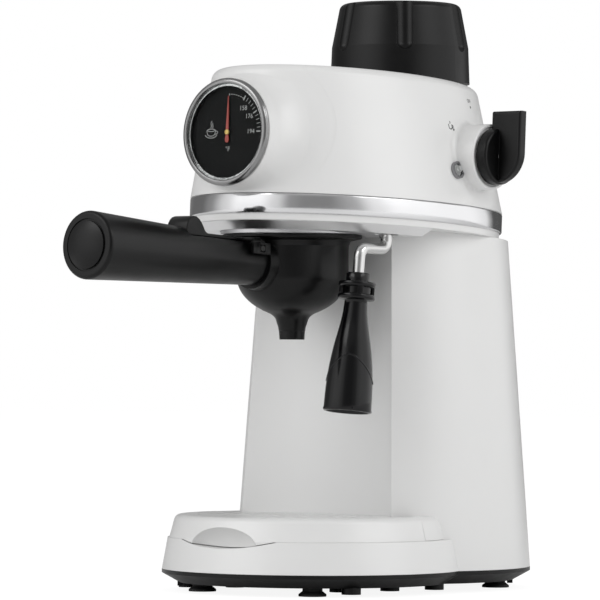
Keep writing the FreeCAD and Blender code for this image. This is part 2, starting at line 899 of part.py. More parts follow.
def make_shower_screen():
    """Perforated screen under the roof of the group, on a short spacer."""
    z = z_group_roof - group_gasket_thickness
    screen = cylinder(screen_radius, screen_thickness, 0, 0, z)
    for radius, count in ((7.0, 6), (13.0, 12), (19.0, 18)):
        for index in range(count):
            angle = 2 * math.pi * index / count
            hole = cylinder(0.8, 2.0, radius * math.cos(angle), radius * math.sin(angle), z - 0.5)
            screen = screen.cut(hole)
    spacer = cylinder(3.5, z_group_roof - z - screen_thickness, 0, 0, z + screen_thickness)
    return join([screen, spacer]).cut(cylinder(1.5, 10.0, 0, 0, z - 1.0))


def make_shower_screw():
    """Screw that holds the screen."""
    z = z_group_roof - group_gasket_thickness
    head = cylinder(3.0, 1.0, 0, 0, z - 1.0)
    shank = cylinder(1.5, group_gasket_thickness + 3.0, 0, 0, z)
    return join([head, shank])


# Portafilter, drawn with the handle straight to the front and then turned to its locked place


def lock(shape):
    """Turns a piece of the portafilter to its locked place."""
    moved = shape.copy()
    moved.rotate(Vector(0, 0, 0), UP, locked_angle_deg)
    return moved


def handle_tip(shape):
    """Tilts a piece that was drawn along -Y at the handle level, front end up."""
    moved = shape.copy()
    moved.rotate(Vector(0, 0, handle_level()), RIGHT, -handle_tilt_deg)
    return moved


def handle_level():
    """Level of the handle axis under the group axis."""
    return z_bowl_top - handle_axis_drop


def bowl_profile(radius, dome, top, straight):
    """Edges of a round-bottomed cup, from its axis at the bottom to its axis at the top."""
    shoulder = top - straight
    curve = [Vector(0, 0, shoulder - dome)]
    steps = 8
    for step in range(1, steps):
        angle = 0.5 * math.pi * step / steps
        curve.append(Vector(radius * math.sin(angle), 0, shoulder - dome * math.cos(angle)))
    curve.append(Vector(radius, 0, shoulder))
    spline = Part.BSplineCurve()
    spline.interpolate(curve, InitialTangent=Vector(1, 0, 0), FinalTangent=Vector(0, 0, 1))
    return [
        spline.toShape(),
        Part.LineSegment(Vector(radius, 0, shoulder), Vector(radius, 0, top)).toShape(),
        Part.LineSegment(Vector(radius, 0, top), Vector(0, 0, top)).toShape(),
        Part.LineSegment(Vector(0, 0, top), Vector(0, 0, shoulder - dome)).toShape(),
    ]


def collar_radius():
    """Outer radius of the collar above the bowl."""
    return group_ledge_radius - 2 * gap


def spigot_radius():
    """Radius of the collar where it sits in the bowl."""
    return bowl_radius - bowl_wall + 0.8


def make_portafilter_bowl():
    """Black bowl with its flange and the boss for the handle."""
    outer = turned_edges(bowl_profile(bowl_radius, bowl_dome, z_bowl_top, bowl_straight))
    flange = turned([
        (0.0, z_bowl_top - bowl_flange_thickness - 5.0),
        (bowl_radius - 0.5, z_bowl_top - bowl_flange_thickness - 5.0),
        (bowl_radius + 1.2, z_bowl_top - bowl_flange_thickness - 1.2),
        (bowl_flange_radius - 0.6, z_bowl_top - bowl_flange_thickness),
        (bowl_flange_radius, z_bowl_top - bowl_flange_thickness + 0.6),
        (bowl_flange_radius, z_bowl_top),
        (0.0, z_bowl_top),
    ])
    boss = Part.makeCone(boss_radius + 1.5, boss_radius, 0.5 * handle_start,
                         Vector(0, -0.5 * handle_start, handle_level()), FRONT)
    boss = handle_tip(boss)
    neck = cylinder(spout_top_radius + 0.5, 6.0, 0, 0, z_bowl_bottom - 1.0)
    body = join([outer, flange, boss, neck])
    inside = turned_edges(bowl_profile(
        bowl_radius - bowl_wall, bowl_dome - bowl_wall, z_bowl_top, bowl_straight
    ))
    body = body.cut(inside)
    body = body.cut(cylinder(spigot_radius(), 9.0, 0, 0, z_bowl_top - 9.0))
    body = body.cut(handle_tip(cylinder(4.0, FAR, 0, -bowl_radius + bowl_wall + 4.0, handle_level(), FRONT)))
    return lock(body.cut(cylinder(spout_bore_radius + 1.5, 20.0, 0, 0, z_bowl_bottom - 10.0)))


def make_portafilter_collar():
    """Metal collar that sits in the bowl and carries the three locking lugs."""
    inner = spigot_radius() - 1.4
    spigot = ring(spigot_radius(), inner, 9.0, 0, 0, z_bowl_top - 9.0)
    tube = ring(collar_radius(), inner, z_collar_top - z_bowl_top, 0, 0, z_bowl_top)
    pieces = [spigot, tube]
    for angle in lug_angles():
        pieces.append(sector(lug_radius, inner + 0.5, lug_height, z_lug_bottom, angle, lug_span_deg))
    return lock(join(pieces))


def make_filter_basket():
    """Steel filter basket hanging by its rim on the collar."""
    radius = spigot_radius() - 1.4 - gap
    bottom = z_collar_top - basket_depth
    outer = cylinder(radius, basket_depth, 0, 0, bottom)
    rim = cylinder(collar_radius() - 0.6, basket_wall, 0, 0, z_collar_top)
    inside = cylinder(radius - basket_wall, basket_depth + 5.0, 0, 0, bottom + basket_wall)
    body = join([outer, rim]).cut(inside)
    for ring_radius, count in ((5.0, 6), (10.0, 12), (15.0, 18)):
        for index in range(count):
            angle = 2 * math.pi * index / count
            place = Vector(ring_radius * math.cos(angle), ring_radius * math.sin(angle), bottom - 1.0)
            body = body.cut(Part.makeCylinder(0.5, 3.0, place, UP))
    return lock(body)


def make_spout():
    """Round spout under the bowl."""
    top = z_bowl_bottom - 1.0
    body = Part.makeCone(spout_bottom_radius, spout_top_radius, spout_length, Vector(0, 0, top - spout_length), UP)
    plug = cylinder(spout_bore_radius + 1.5, 4.0, 0, 0, top)
    body = join([body, plug])
    return lock(body.cut(cylinder(spout_bore_radius, FAR, 0, 0, top - FAR / 2)))


def handle_radius(distance):
    """Radius of the handle at a distance from the group axis."""
    share = (distance - handle_start) / handle_length
    return handle_neck_radius + share * (handle_end_radius - handle_neck_radius)


def make_handle():
    """Tapered handle with a flat on top for the latch and a bore for its bolt."""
    level = handle_level()
    body = Part.makeCone(
        handle_neck_radius, handle_end_radius, handle_length, Vector(0, -handle_start, level), FRONT
    )
    end_y = -handle_start - handle_length
    body = rounded(body, 2.0, lambda edge: edge.BoundBox.YMax < end_y + 0.01)
    flat = block(
        -FAR, FAR, -latch_start - latch_length, -latch_start + 4.0, level + latch_flat_height, level + FAR
    )
    body = body.cut(flat)
    body = body.cut(cylinder(4.0, 40.0, 0, 0, level, FRONT).common(block(-9, 9, -70, 0, 0, FAR)))
    body = body.cut(cylinder(0.76 * handle_end_radius, 3.0, 0, end_y + 3.0, level, FRONT))
    pin = cylinder(latch_pin_radius, 60.0, -30.0, -latch_pin_from_axis, level + latch_pin_height, RIGHT)
    return lock(handle_tip(body.cut(pin)))


def make_handle_end_cap():
    """Domed plug in the end of the handle."""
    level = handle_level()
    end_y = -handle_start - handle_length
    radius = 0.76 * handle_end_radius
    sphere_radius = (radius ** 2 + handle_dome ** 2) / (2 * handle_dome)
    sphere = Part.makeSphere(sphere_radius, Vector(0, end_y - handle_dome + sphere_radius, level))
    dome = sphere.common(cylinder(radius - 1.0, 40.0, 0, end_y + 3.0, level, FRONT))
    base = cylinder(radius, 2.4, 0, end_y + 3.0, level, FRONT)
    return lock(handle_tip(join([base, dome])))


def make_handle_bolt():
    """Bolt that ties the handle to the bowl."""
    level = handle_level()
    bolt = cylinder(4.0, 40.0 - bowl_radius + bowl_wall + 2.0, 0, -bowl_radius + bowl_wall - 2.0, level, FRONT)
    bolt = bolt.common(block(-20, 20, -40.0, 0, 0, FAR))
    return lock(handle_tip(bolt))


def make_latch_pin():
    """Steel pin the latch turns on."""
    level = handle_level() + latch_pin_height
    half = handle_neck_radius + gap + 0.6 + latch_arm_thickness
    pin = cylinder(latch_pin_radius, 2 * half, -half, -latch_pin_from_axis, level, RIGHT)
    return lock(handle_tip(pin))


def make_basket_latch():
    """Thumb latch: a flat plate with a hump at its end and two arms that reach to the pin."""
    level = handle_level()
    flat = level + latch_flat_height + gap
    start = -latch_start
    end = -latch_start - latch_length + gap
    half = latch_width / 2
    foot = end + hump_length
    crest = end + 0.42 * hump_length
    points = {
        "start": Vector(-half, start, flat),
        "end": Vector(-half, end, flat),
        "end_top": Vector(-half, end, flat + 0.25 * hump_height),
        "front": Vector(-half, end + 0.12 * hump_length, flat + 0.8 * hump_height),
        "crest": Vector(-half, crest, flat + hump_height),
        "back": Vector(-half, end + 0.74 * hump_length, flat + 0.72 * hump_height),
        "foot": Vector(-half, foot, flat + latch_thickness),
        "top": Vector(-half, start, flat + latch_thickness),
    }
    edges = [
        Part.LineSegment(points["start"], points["end"]).toShape(),
        Part.LineSegment(points["end"], points["end_top"]).toShape(),
        Part.Arc(points["end_top"], points["front"], points["crest"]).toShape(),
        Part.Arc(points["crest"], points["back"], points["foot"]).toShape(),
        Part.LineSegment(points["foot"], points["top"]).toShape(),
        Part.LineSegment(points["top"], points["start"]).toShape(),
    ]
    lever = Part.Face(Part.Wire(edges)).extrude(RIGHT * latch_width)
    inner = handle_neck_radius + gap + 0.6
    outer = inner + latch_arm_thickness
    pin_z = level + latch_pin_height
    bridge = block(-outer, outer, start - 5.0, start + 0.0, flat, flat + latch_thickness)
    pieces = [lever, bridge]
    arm_back = start - 5.0
    for side in (1, -1):
        low = min(side * inner, side * outer)
        high = max(side * inner, side * outer)
        arm = block(
            low, high, arm_back, arm_back + latch_arm_length,
            pin_z - latch_arm_height / 2, pin_z + latch_arm_height / 2,
        )
        post = block(low, high, arm_back, start, pin_z, flat + latch_thickness)
        pieces.extend([arm, post])
    body = join(pieces)
    hole = cylinder(
        latch_pin_radius + running_clearance, 2 * FAR, -FAR, -latch_pin_from_axis, pin_z, RIGHT
    )
    return lock(handle_tip(body.cut(hole)))


# Thermometer, drawn untilted along -Y


def make_gauge_bezel():
    """Chrome bezel ring."""
    origin = gauge_origin()
    lip_inner = gauge_radius - gauge_bezel_lip
    return lean(turned_along([
        (lip_inner, 0.0),
        (gauge_radius - 1.2, 0.0),
        (gauge_radius, -1.2),
        (gauge_radius, -gauge_bezel_depth),
        (lip_inner, -gauge_bezel_depth),
    ], origin, FRONT))


def make_gauge_case():
    """Steel cup behind the dial."""
    origin = gauge_origin()
    outer = gauge_radius - gauge_bezel_lip
    inner = outer - gauge_case_wall
    seat = gauge_face_recess + gauge_glass_thickness
    floor = seat + gauge_case_depth
    cup = turned_along([
        (0.0, -floor),
        (outer, -floor),
        (outer, -seat),
        (inner, -seat),
        (inner, -floor + gauge_case_wall),
        (0.0, -floor + gauge_case_wall),
    ], origin, FRONT)
    bushing = ring(
        2.6, needle_spindle_radius + running_clearance, gauge_case_depth - 6.0,
        0, origin.y + floor - gauge_case_wall, origin.z, FRONT,
    )
    return lean(join([cup, bushing]))


def dial_depth():
    """Distance of the dial face behind the front rim."""
    return gauge_face_recess + gauge_glass_thickness + gauge_dial_room


def make_gauge_dial():
    """Dial plate."""
    origin = gauge_origin()
    radius = gauge_radius - gauge_bezel_lip - gauge_case_wall
    plate = ring(
        radius, needle_spindle_radius + gap, gauge_dial_thickness,
        0, origin.y + dial_depth() + gauge_dial_thickness, origin.z, FRONT,
    )
    return lean(plate)


def make_gauge_glass():
    """Round window in front of the dial."""
    origin = gauge_origin()
    radius = gauge_radius - gauge_bezel_lip
    y = origin.y + gauge_face_recess + gauge_glass_thickness
    return lean(cylinder(radius, gauge_glass_thickness, 0, y, origin.z, FRONT))


def needle_y():
    """Depth of the back of the needle."""
    return gauge_origin().y + dial_depth() - needle_clearance


def make_gauge_needle():
    """Needle with a pointed tip upwards and a round tail."""
    origin = gauge_origin()
    y = needle_y()
    points = [
        Vector(0.25, y, origin.z + needle_length),
        Vector(1.1, y, origin.z),
        Vector(1.3, y, origin.z - needle_tail),
        Vector(-1.3, y, origin.z - needle_tail),
        Vector(-1.1, y, origin.z),
        Vector(-0.25, y, origin.z + needle_length),
    ]
    blade = Part.Face(Part.makePolygon(points + points[:1])).extrude(FRONT * needle_thickness)
    tail = cylinder(2.2, needle_thickness, 0, y, origin.z - needle_tail, FRONT)
    body = join([blade, tail])
    return lean(body.cut(cylinder(needle_spindle_radius, 10.0, 0, y + 5.0, origin.z, FRONT)))


def make_needle_spindle():
    """Brass spindle and hub of the needle."""
    origin = gauge_origin()
    y = needle_y()
    back = gauge_origin().y + gauge_face_recess + gauge_glass_thickness + gauge_case_depth - 4.0
    shaft = cylinder(needle_spindle_radius, back - y + needle_thickness, 0, back, origin.z, FRONT)
    hub = cylinder(needle_hub_radius, needle_hub_thickness, 0, y - needle_thickness, origin.z, FRONT)
    return lean(join([shaft, hub]))


def make_gauge_probe():
    """Probe tube of the thermometer, from the back of its case down to the group."""
    origin = gauge_origin()
    case_back = origin.y + gauge_face_recess + gauge_glass_thickness + gauge_case_depth
    start = lean_point(0, case_back, gauge_height)
    entry = lean_point(0, case_back + 12.0, gauge_height)
    target = Vector(0, entry.y, z_group + group_height)
    return swept([start, entry, target], 5.0, 1.6)


# Boiler and cap


def z_flange():
    """Level of the joint between boiler body and cover."""
    return z_floor + boiler_flange_height


def make_boiler_body():
    """Lower half of the boiler."""
    joint = z_flange()
    bottom = joint - boiler_body_height
    return turned([
        (0.0, bottom),
        (boiler_radius - 3.0, bottom),
        (boiler_radius, bottom + 3.0),
        (boiler_radius, joint - boiler_flange_thickness),
        (boiler_flange_radius, joint - boiler_flange_thickness),
        (boiler_flange_radius, joint),
        (boiler_radius - boiler_wall, joint),
        (boiler_radius - boiler_wall, bottom + 6.0),
        (boiler_radius - boiler_wall - 3.0, bottom + 3.0),
        (0.0, bottom + 3.0),
    ], 0, boiler_y)


def make_boiler_seal():
    """Seal in the boiler joint."""
    inner = boiler_radius - boiler_wall
    return ring(boiler_flange_radius, inner, boiler_seal_thickness, 0, boiler_y, z_flange())


def z_neck_top():
    """Level of the top of the filling neck."""
    return head_plane_z(h_top, boiler_y) + neck_above_top


def z_shoulder():
    """Level of the top of the straight wall of the boiler cover."""
    return z_flange() + boiler_seal_thickness + boiler_cover_height


def z_neck_foot():
    """Level at which the filling neck stands on the boiler cover."""
    return z_shoulder() + boiler_cover_slope


def make_boiler_cover():
    """Upper half of the boiler, closing in to the foot of the filling neck."""
    low = z_flange() + boiler_seal_thickness
    inner_radius = boiler_cover_radius - boiler_wall
    body = turned([
        (boiler_radius - boiler_wall, low),
        (boiler_flange_radius, low),
        (boiler_flange_radius, low + boiler_flange_thickness),
        (boiler_cover_radius, low + boiler_flange_thickness),
        (boiler_cover_radius, z_shoulder()),
        (neck_radius, z_neck_foot()),
        (neck_bore_radius, z_neck_foot()),
        (neck_bore_radius, z_neck_foot() - 1.0),
        (inner_radius, z_shoulder() - 1.0),
        (inner_radius, low + boiler_flange_thickness),
    ], 0, boiler_y)
    centre = valve_centre()
    return body.cut(cylinder(nipple_bore_radius, valve_face_x, 0, centre.y, centre.z, RIGHT))


def make_boiler_neck():
    """Tube that the water is poured into, welded on the boiler cover."""
    height = z_neck_top() - z_neck_foot()
    return ring(neck_radius, neck_bore_radius, height, 0, boiler_y, z_neck_foot())


def make_valve_nipple():
    """Short tube from the boiler cover to the steam valve."""
    centre = valve_centre()
    reach = valve_face_x - valve_length
    tube = ring(nipple_radius, nipple_bore_radius, reach, 0, centre.y, centre.z, RIGHT)
    return tube.cut(cylinder(boiler_cover_radius, FAR, 0, boiler_y, z_floor - 0.5 * FAR))


def make_boiler_clamp():
    """Clamp ring round the boiler joint."""
    low = z_flange() - boiler_flange_thickness
    high = z_flange() + boiler_seal_thickness + boiler_flange_thickness
    outer = boiler_flange_radius + 1.4
    return turned([
        (boiler_flange_radius, low),
        (outer, low),
        (outer, high + 1.0),
        (boiler_flange_radius - 2.0, high + 1.0),
        (boiler_flange_radius - 2.0, high),
        (boiler_flange_radius, high),
    ], 0, boiler_y)


def make_boiler_bracket():
    """Bracket under the boiler flange: a plate on three legs that stand on the floor plate."""
    top = z_flange() - boiler_flange_thickness
    plate = ring(boiler_flange_radius + 8.0, boiler_radius, 2.0, 0, boiler_y, top - 2.0)
    plate = plate.common(block(-FAR, FAR, -FAR, boiler_y + 18.0, 0, FAR))
    pieces = [plate]
    for angle in (20.0, 160.0, 235.0, 305.0):
        radius = boiler_flange_radius + 5.0
        x = radius * math.cos(math.radians(angle))
        y = boiler_y + radius * math.sin(math.radians(angle))
        leg = cylinder(2.6, 60.0, x, y, top - 61.0)
        pieces.append(leg.common(above_head_plane(h_band)))
    return join(pieces)


def make_heating_element():
    """Ring element round the foot of the boiler with two terminals."""
    bottom = z_flange() - boiler_body_height
    major = boiler_radius + element_tube_radius
    z = bottom + 3.0 + element_tube_radius
    body = Part.makeTorus(major, element_tube_radius, Vector(0, boiler_y, z), UP)
    pieces = [body]
    for x in (-6.0, 6.0):
        y = boiler_y - math.sqrt(major ** 2 - x * x)
        pieces.append(cylinder(2.0, 16.0, x, y, z - 16.0))
    return join(pieces)


def make_thermostat():
    """Round thermostat under the boiler."""
    bottom = z_flange() - boiler_body_height
    body = cylinder(thermostat_radius, thermostat_height, 0, boiler_y, bottom - thermostat_height)
    tabs = block(-thermostat_radius - 3.0, thermostat_radius + 3.0, boiler_y - 2.0, boiler_y + 2.0,
                 bottom - thermostat_height, bottom - thermostat_height + 1.0)
    return join([body, tabs])


def make_thermal_fuse():
    """Thermal fuse clipped under the boiler."""
    bottom = z_flange() - boiler_body_height
    y = boiler_y + thermostat_radius + 4.0 + fuse_radius
    return cylinder(fuse_radius, 20.0, -10.0, y, bottom - fuse_radius, RIGHT)


def z_cap_bottom():
    """Lower edge of the cap, just clear of the tilted top of the head."""
    return head_plane_z(h_top, boiler_y - cap_radius) + cap_clearance


def make_cap_gasket():
    """Flat ring on top of the filling neck."""
    return ring(neck_radius - 0.5, neck_bore_radius + 0.5, cap_gasket_thickness, 0, boiler_y, z_neck_top())


def make_boiler_cap():
    """Black screw cap with vertical flutes that run down from its top edge."""
    bottom = z_cap_bottom()
    top = bottom + cap_height
    ceiling = z_neck_top() + cap_gasket_thickness
    middle = bottom + 0.45 * cap_height
    middle_radius = cap_radius - 0.14 * (cap_radius - cap_top_radius)
    body = turned([
        (0.0, bottom),
        (cap_radius, bottom),
        (middle_radius, middle),
        (cap_top_radius, top),
        (0.0, top),
    ], 0, boiler_y)
    body = rounded(body, cap_edge_round, lambda edge: edge.BoundBox.ZMin > top - 0.01)
    body = body.cut(cylinder(neck_radius + gap, ceiling - bottom, 0, boiler_y, bottom))
    slope = (middle_radius - cap_top_radius) / (top - middle)
    low = top - flute_length + flute_radius
    distance = cap_top_radius + slope * (top - low) + flute_radius - flute_depth
    for index in range(flute_count):
        angle = math.radians(flute_phase_deg + 360.0 * index / flute_count)
        x = distance * math.cos(angle)
        y = boiler_y + distance * math.sin(angle)
        groove = cylinder(flute_radius, 2 * cap_height, x, y, low)
        cutter = join([groove, Part.makeSphere(flute_radius, Vector(x, y, low))])
        across = Vector(-math.sin(angle), math.cos(angle), 0)
        cutter.rotate(Vector(x, y, low), across, -math.degrees(math.atan(slope)))
        body = body.cut(cutter)
    return body.cut(cylinder(plug_stem_radius(), 6.0, 0, boiler_y, ceiling))


def plug_stem_radius():
    """Radius of the stem that fixes the plug in the cap."""
    return neck_bore_radius - 6.0


def make_cap_plug():
    """Metal plug of the cap that screws down into the neck; its thread is drawn plain."""
    ceiling = z_neck_top() + cap_gasket_thickness
    radius = neck_bore_radius - gap
    body = turned([
        (relief_radius + gap, ceiling - plug_length),
        (radius - 1.0, ceiling - plug_length),
        (radius, ceiling - plug_length + 1.0),
        (radius, ceiling),
        (plug_stem_radius(), ceiling),
        (plug_stem_radius(), ceiling + 6.0),
        (0.0, ceiling + 6.0),
        (0.0, ceiling + gap),
        (relief_radius + gap, ceiling + gap),
    ], 0, boiler_y)
    return body


def make_relief_valve():
    """Relief valve in the middle of the plug."""
    ceiling = z_neck_top() + cap_gasket_thickness
    low = ceiling - plug_length
    return turned([
        (0.0, low - 3.0),
        (relief_radius + 2.5, low - 3.0),
        (relief_radius + 2.5, low - gap),
        (relief_radius, low - gap),
        (relief_radius, ceiling),
        (0.0, ceiling),
    ], 0, boiler_y)


# Knob, valve and lamp on the right-hand side


def valve_centre():
    """Place of the knob axis in the machine."""
    return lean_point(knob_face_x, knob_y, knob_height_above_floor)


def make_valve_body():
    """Steam valve behind the knob."""
    centre = valve_centre()
    body = block(
        valve_face_x - valve_length, valve_face_x,
        centre.y - valve_half_width, centre.y + valve_half_width,
        centre.z - valve_half_width, centre.z + valve_half_width,
    )
    body = body.cut(cylinder(
        spindle_radius + running_clearance, valve_length - 6.0,
        valve_face_x - valve_length + 6.0, centre.y, centre.z, RIGHT,
    ))
    return body.cut(cylinder(1.8, 10.0, valve_face_x - valve_length - 1.0, centre.y, centre.z, RIGHT))


def make_valve_spindle():
    """Spindle from the valve into the knob."""
    centre = valve_centre()
    start = valve_face_x - valve_length + 7.0
    end = knob_face_x + knob_gap + knob_disc_thickness
    return cylinder(spindle_radius, end - start, start, centre.y, centre.z, RIGHT)


def make_selector_knob():
    """Round knob with an upright blade as its grip and pointer."""
    origin = knob_origin()
    x0 = origin.x + knob_gap
    x1 = origin.x + blade_reach
    disc = cylinder(knob_radius, knob_disc_thickness, x0, origin.y, origin.z, RIGHT)
    disc = rounded(disc, 1.5, lambda edge: edge.BoundBox.XMin > x0 + knob_disc_thickness - 0.01)
    top = origin.z + blade_above
    low = origin.z - knob_radius + 0.5
    corner = x1 - x0 - 3.0
    middle = 1 - math.sqrt(0.5)
    y = origin.y - blade_thickness / 2
    points = [
        Vector(x0 + 1.0, y, low),
        Vector(x0 + 3.0, y, low),
        Vector(x1, y, low + corner),
        Vector(x1, y, top),
        Vector(x0 + 1.0, y, top),
    ]
    bend = Vector(x1 - middle * corner, y, low + middle * corner)
    edges = [
        Part.LineSegment(points[0], points[1]).toShape(),
        Part.Arc(points[1], bend, points[2]).toShape(),
        Part.LineSegment(points[2], points[3]).toShape(),
        Part.LineSegment(points[3], points[4]).toShape(),
        Part.LineSegment(points[4], points[0]).toShape(),
    ]
    blade = Part.Face(Part.Wire(edges)).extrude(BACK * blade_thickness)
    long_edges = lambda edge: edge.BoundBox.YLength < 0.01 and edge.BoundBox.XMax > x0 + 2.0
    blade = rounded(blade, 0.22 * blade_thickness, long_edges)
    body = join([disc, blade])
    hole = cylinder(spindle_radius, knob_disc_thickness, x0, origin.y, origin.z, RIGHT)
    return lean(body.cut(hole))


def make_lamp_bezel():
    """Chrome ring of the pilot lamp."""
    origin = lamp_origin()
    back = origin.x - lamp_seat
    flange = ring(lamp_radius, lamp_lens_radius, lamp_seat + lamp_proud, back, origin.y, origin.z, RIGHT)
    barrel = ring(lamp_lens_radius + 0.7, lamp_lens_radius, 12.0, back - 12.0, origin.y, origin.z, RIGHT)
    return face_wall(join([flange, barrel]))


def make_lamp_lens():
    """Clear lens of the pilot lamp."""
    origin = lamp_origin()
    body = cylinder(lamp_lens_radius, 10.0, origin.x - 10.0 + lamp_proud, origin.y, origin.z, RIGHT)
    tip = Part.makeSphere(1.8 * lamp_lens_radius, Vector(
        origin.x + lamp_proud + 0.9 - 1.8 * lamp_lens_radius, origin.y, origin.z
    ))
    tip = tip.common(cylinder(lamp_lens_radius, 10.0, origin.x - 1.0, origin.y, origin.z, RIGHT))
    return face_wall(join([body, tip]))


# Steam wand


def wand_axis():
    """Direction of the lower run of the wand, down and a little forward."""
    angle = math.radians(wand_lean_deg)
    return Vector(0, -math.sin(angle), -math.cos(angle))


def wand_elbow():
    """Corner where the wand turns down again."""
    return Vector(wand_x, wand_y - wand_forward, z_floor - wand_drop)


def make_wand_socket():
    """Brass socket in the floor plate in which the wand swivels."""
    low = head_plane_z(0.0, wand_y) - socket_flange_thickness
    body = cylinder(socket_radius, 18.0, wand_x, wand_y, low)
    return body.cut(cylinder(wand_radius + running_clearance, 18.0, wand_x, wand_y, low - 2.0))


def make_steam_wand():
    """Steam tube: down from its socket, forward, then down to the tip."""
    top = Vector(wand_x, wand_y, z_floor + 10.0)
    corner = Vector(wand_x, wand_y, z_floor - wand_drop)
    elbow = wand_elbow()
    tip = elbow + wand_axis() * wand_tip_length
    points = [top, corner, elbow, tip]
    tube = swept(points, wand_bend, wand_radius)
    return tube.cut(swept(points, wand_bend, wand_bore_radius))


def make_wand_screw():
    """Small screw on the upper run of the wand."""
    z = z_floor - 0.4 * wand_drop
    screw = cylinder(wand_screw_radius, wand_radius + 1.2, wand_x, wand_y, z, FRONT)
    return screw.cut(cylinder(wand_radius, 2 * wand_drop, wand_x, wand_y, z - wand_drop))


def make_froth_sleeve():
    """Black frothing sleeve: a grip with two flanges and a bell that is open below."""
    elbow = wand_elbow()
    length = sleeve_length
    grip = 5.5
    second = grip + sleeve_flange_thickness + sleeve_grip_height - sleeve_flange_thickness
    neck = second + sleeve_flange_thickness
    inner_top = wand_radius + running_clearance
    profile = [
        (inner_top, 0.0),
        (sleeve_top_radius, 0.0),
        (sleeve_top_radius, -grip),
        (sleeve_flange_radius, -grip),
        (sleeve_flange_radius, -grip - sleeve_flange_thickness),
        (sleeve_top_radius + 1.2, -grip - sleeve_flange_thickness),
        (sleeve_top_radius + 1.2, -second),
        (sleeve_flange_radius, -second),
        (sleeve_flange_radius, -neck),
        (sleeve_top_radius + 0.4, -neck - 1.0),
        (0.62 * sleeve_bottom_radius, -0.45 * length),
        (0.84 * sleeve_bottom_radius, -0.72 * length),
        (sleeve_bottom_radius, -0.97 * length),
        (sleeve_bottom_radius, -length),
        (sleeve_bottom_radius - sleeve_wall, -length),
        (0.84 * sleeve_bottom_radius - sleeve_wall, -0.72 * length),
        (0.62 * sleeve_bottom_radius - sleeve_wall, -0.5 * length),
        (inner_top, -0.42 * length),
    ]
    body = turned(profile)
    body.rotate(Vector(0, 0, 0), RIGHT, -wand_lean_deg)
    body.translate(elbow + wand_axis() * sleeve_start)
    return body


# Pipes inside the head


def make_feed_pipe():
    """Pipe from the boiler to the roof of the group."""
    z = z_group + group_height + 5.5
    start = Vector(0, boiler_y - boiler_radius, z)
    corner = Vector(0, feed_pipe_y(), z)
    end = Vector(0, feed_pipe_y(), z_group + group_height)
    tube = swept([start, corner, end], 4.5, pipe_radius)
    return tube.cut(swept([start, corner, end], 4.5, 0.5 * pipe_radius))


def make_steam_pipe():
    """Pipe from the valve to the socket of the wand."""
    centre = valve_centre()
    top = head_plane_z(0.0, wand_y) - socket_flange_thickness + 18.0
    start = Vector(wand_x, centre.y - valve_half_width, centre.z)
    corner = Vector(wand_x, wand_y, centre.z)
    end = Vector(wand_x, wand_y, top)
    tube = swept([start, corner, end], 8.0, pipe_radius)
    return tube.cut(swept([start, corner, end], 8.0, 0.5 * pipe_radius))


NODES = {
    "base_plate": make_base_plate,
    "rubber_feet": make_feet,
    "base_screws": make_base_screws,
    "base_shell": make_base_shell,
    "body_shell": make_body_shell,
    "rear_cover": make_rear_cover,
    "rear_screws": make_rear_screws,
    "cord_gland": make_cord_gland,
    "drip_tray": make_drip_tray,
    "drip_grille": make_drip_grille,
    "head_floor": make_head_floor,
    "chrome_band": make_chrome_band,
    "head_shell": make_head_shell,
    "underside_dish": make_underside_dish,
    "group_ring": make_group_ring,
    "group_gasket": make_group_gasket,
    "shower_screen": make_shower_screen,
    "shower_screw": make_shower_screw,
    "portafilter_bowl": make_portafilter_bowl,
    "portafilter_collar": make_portafilter_collar,
    "filter_basket": make_filter_basket,
    "spout": make_spout,
    "handle": make_handle,
    "handle_end_cap": make_handle_end_cap,
    "handle_bolt": make_handle_bolt,
    "latch_pin": make_latch_pin,
    "basket_latch": make_basket_latch,
    "gauge_bezel": make_gauge_bezel,
    "gauge_case": make_gauge_case,
    "gauge_dial": make_gauge_dial,
    "gauge_glass": make_gauge_glass,
    "gauge_needle": make_gauge_needle,
    "needle_spindle": make_needle_spindle,
    "gauge_probe": make_gauge_probe,
    "boiler_body": make_boiler_body,
    "boiler_seal": make_boiler_seal,
    "boiler_cover": make_boiler_cover,
    "boiler_neck": make_boiler_neck,
    "valve_nipple": make_valve_nipple,
    "boiler_clamp": make_boiler_clamp,
    "boiler_bracket": make_boiler_bracket,
    "heating_element": make_heating_element,
    "thermostat": make_thermostat,
    "thermal_fuse": make_thermal_fuse,
    "cap_gasket": make_cap_gasket,
    "boiler_cap": make_boiler_cap,
    "cap_plug": make_cap_plug,
    "relief_valve": make_relief_valve,
    "valve_body": make_valve_body,
    "valve_spindle": make_valve_spindle,
    "selector_knob": make_selector_knob,
    "lamp_bezel": make_lamp_bezel,
    "lamp_lens": make_lamp_lens,
    "wand_socket": make_wand_socket,
    "steam_wand": make_steam_wand,
    "wand_screw": make_wand_screw,
    "froth_sleeve": make_froth_sleeve,
    "feed_pipe": make_feed_pipe,
    "steam_pipe": make_steam_pipe,
}

# Assembly: the origin goes to the middle of the footprint, on the floor
shapes = {}
for name, make in NODES.items():
    shapes[name] = make()

whole = Part.makeCompound(list(shapes.values())).optimalBoundingBox(False, False)
centre_shift = Vector(-0.5 * (whole.XMin + whole.XMax), -0.5 * (whole.YMin + whole.YMax), -whole.ZMin)

for name, shape in shapes.items():
    shape.translate(centre_shift)
    shape.exportStep("parts/" + name + ".step")
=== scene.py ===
"""Looks of a small white steam espresso machine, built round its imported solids."""
import json
import logging
import math
from dataclasses import dataclass
from enum import Enum
from typing import Callable, Dict, List, Optional, Protocol, Sequence, Tuple, Union

import bmesh
import bpy
from mathutils import Matrix, Vector

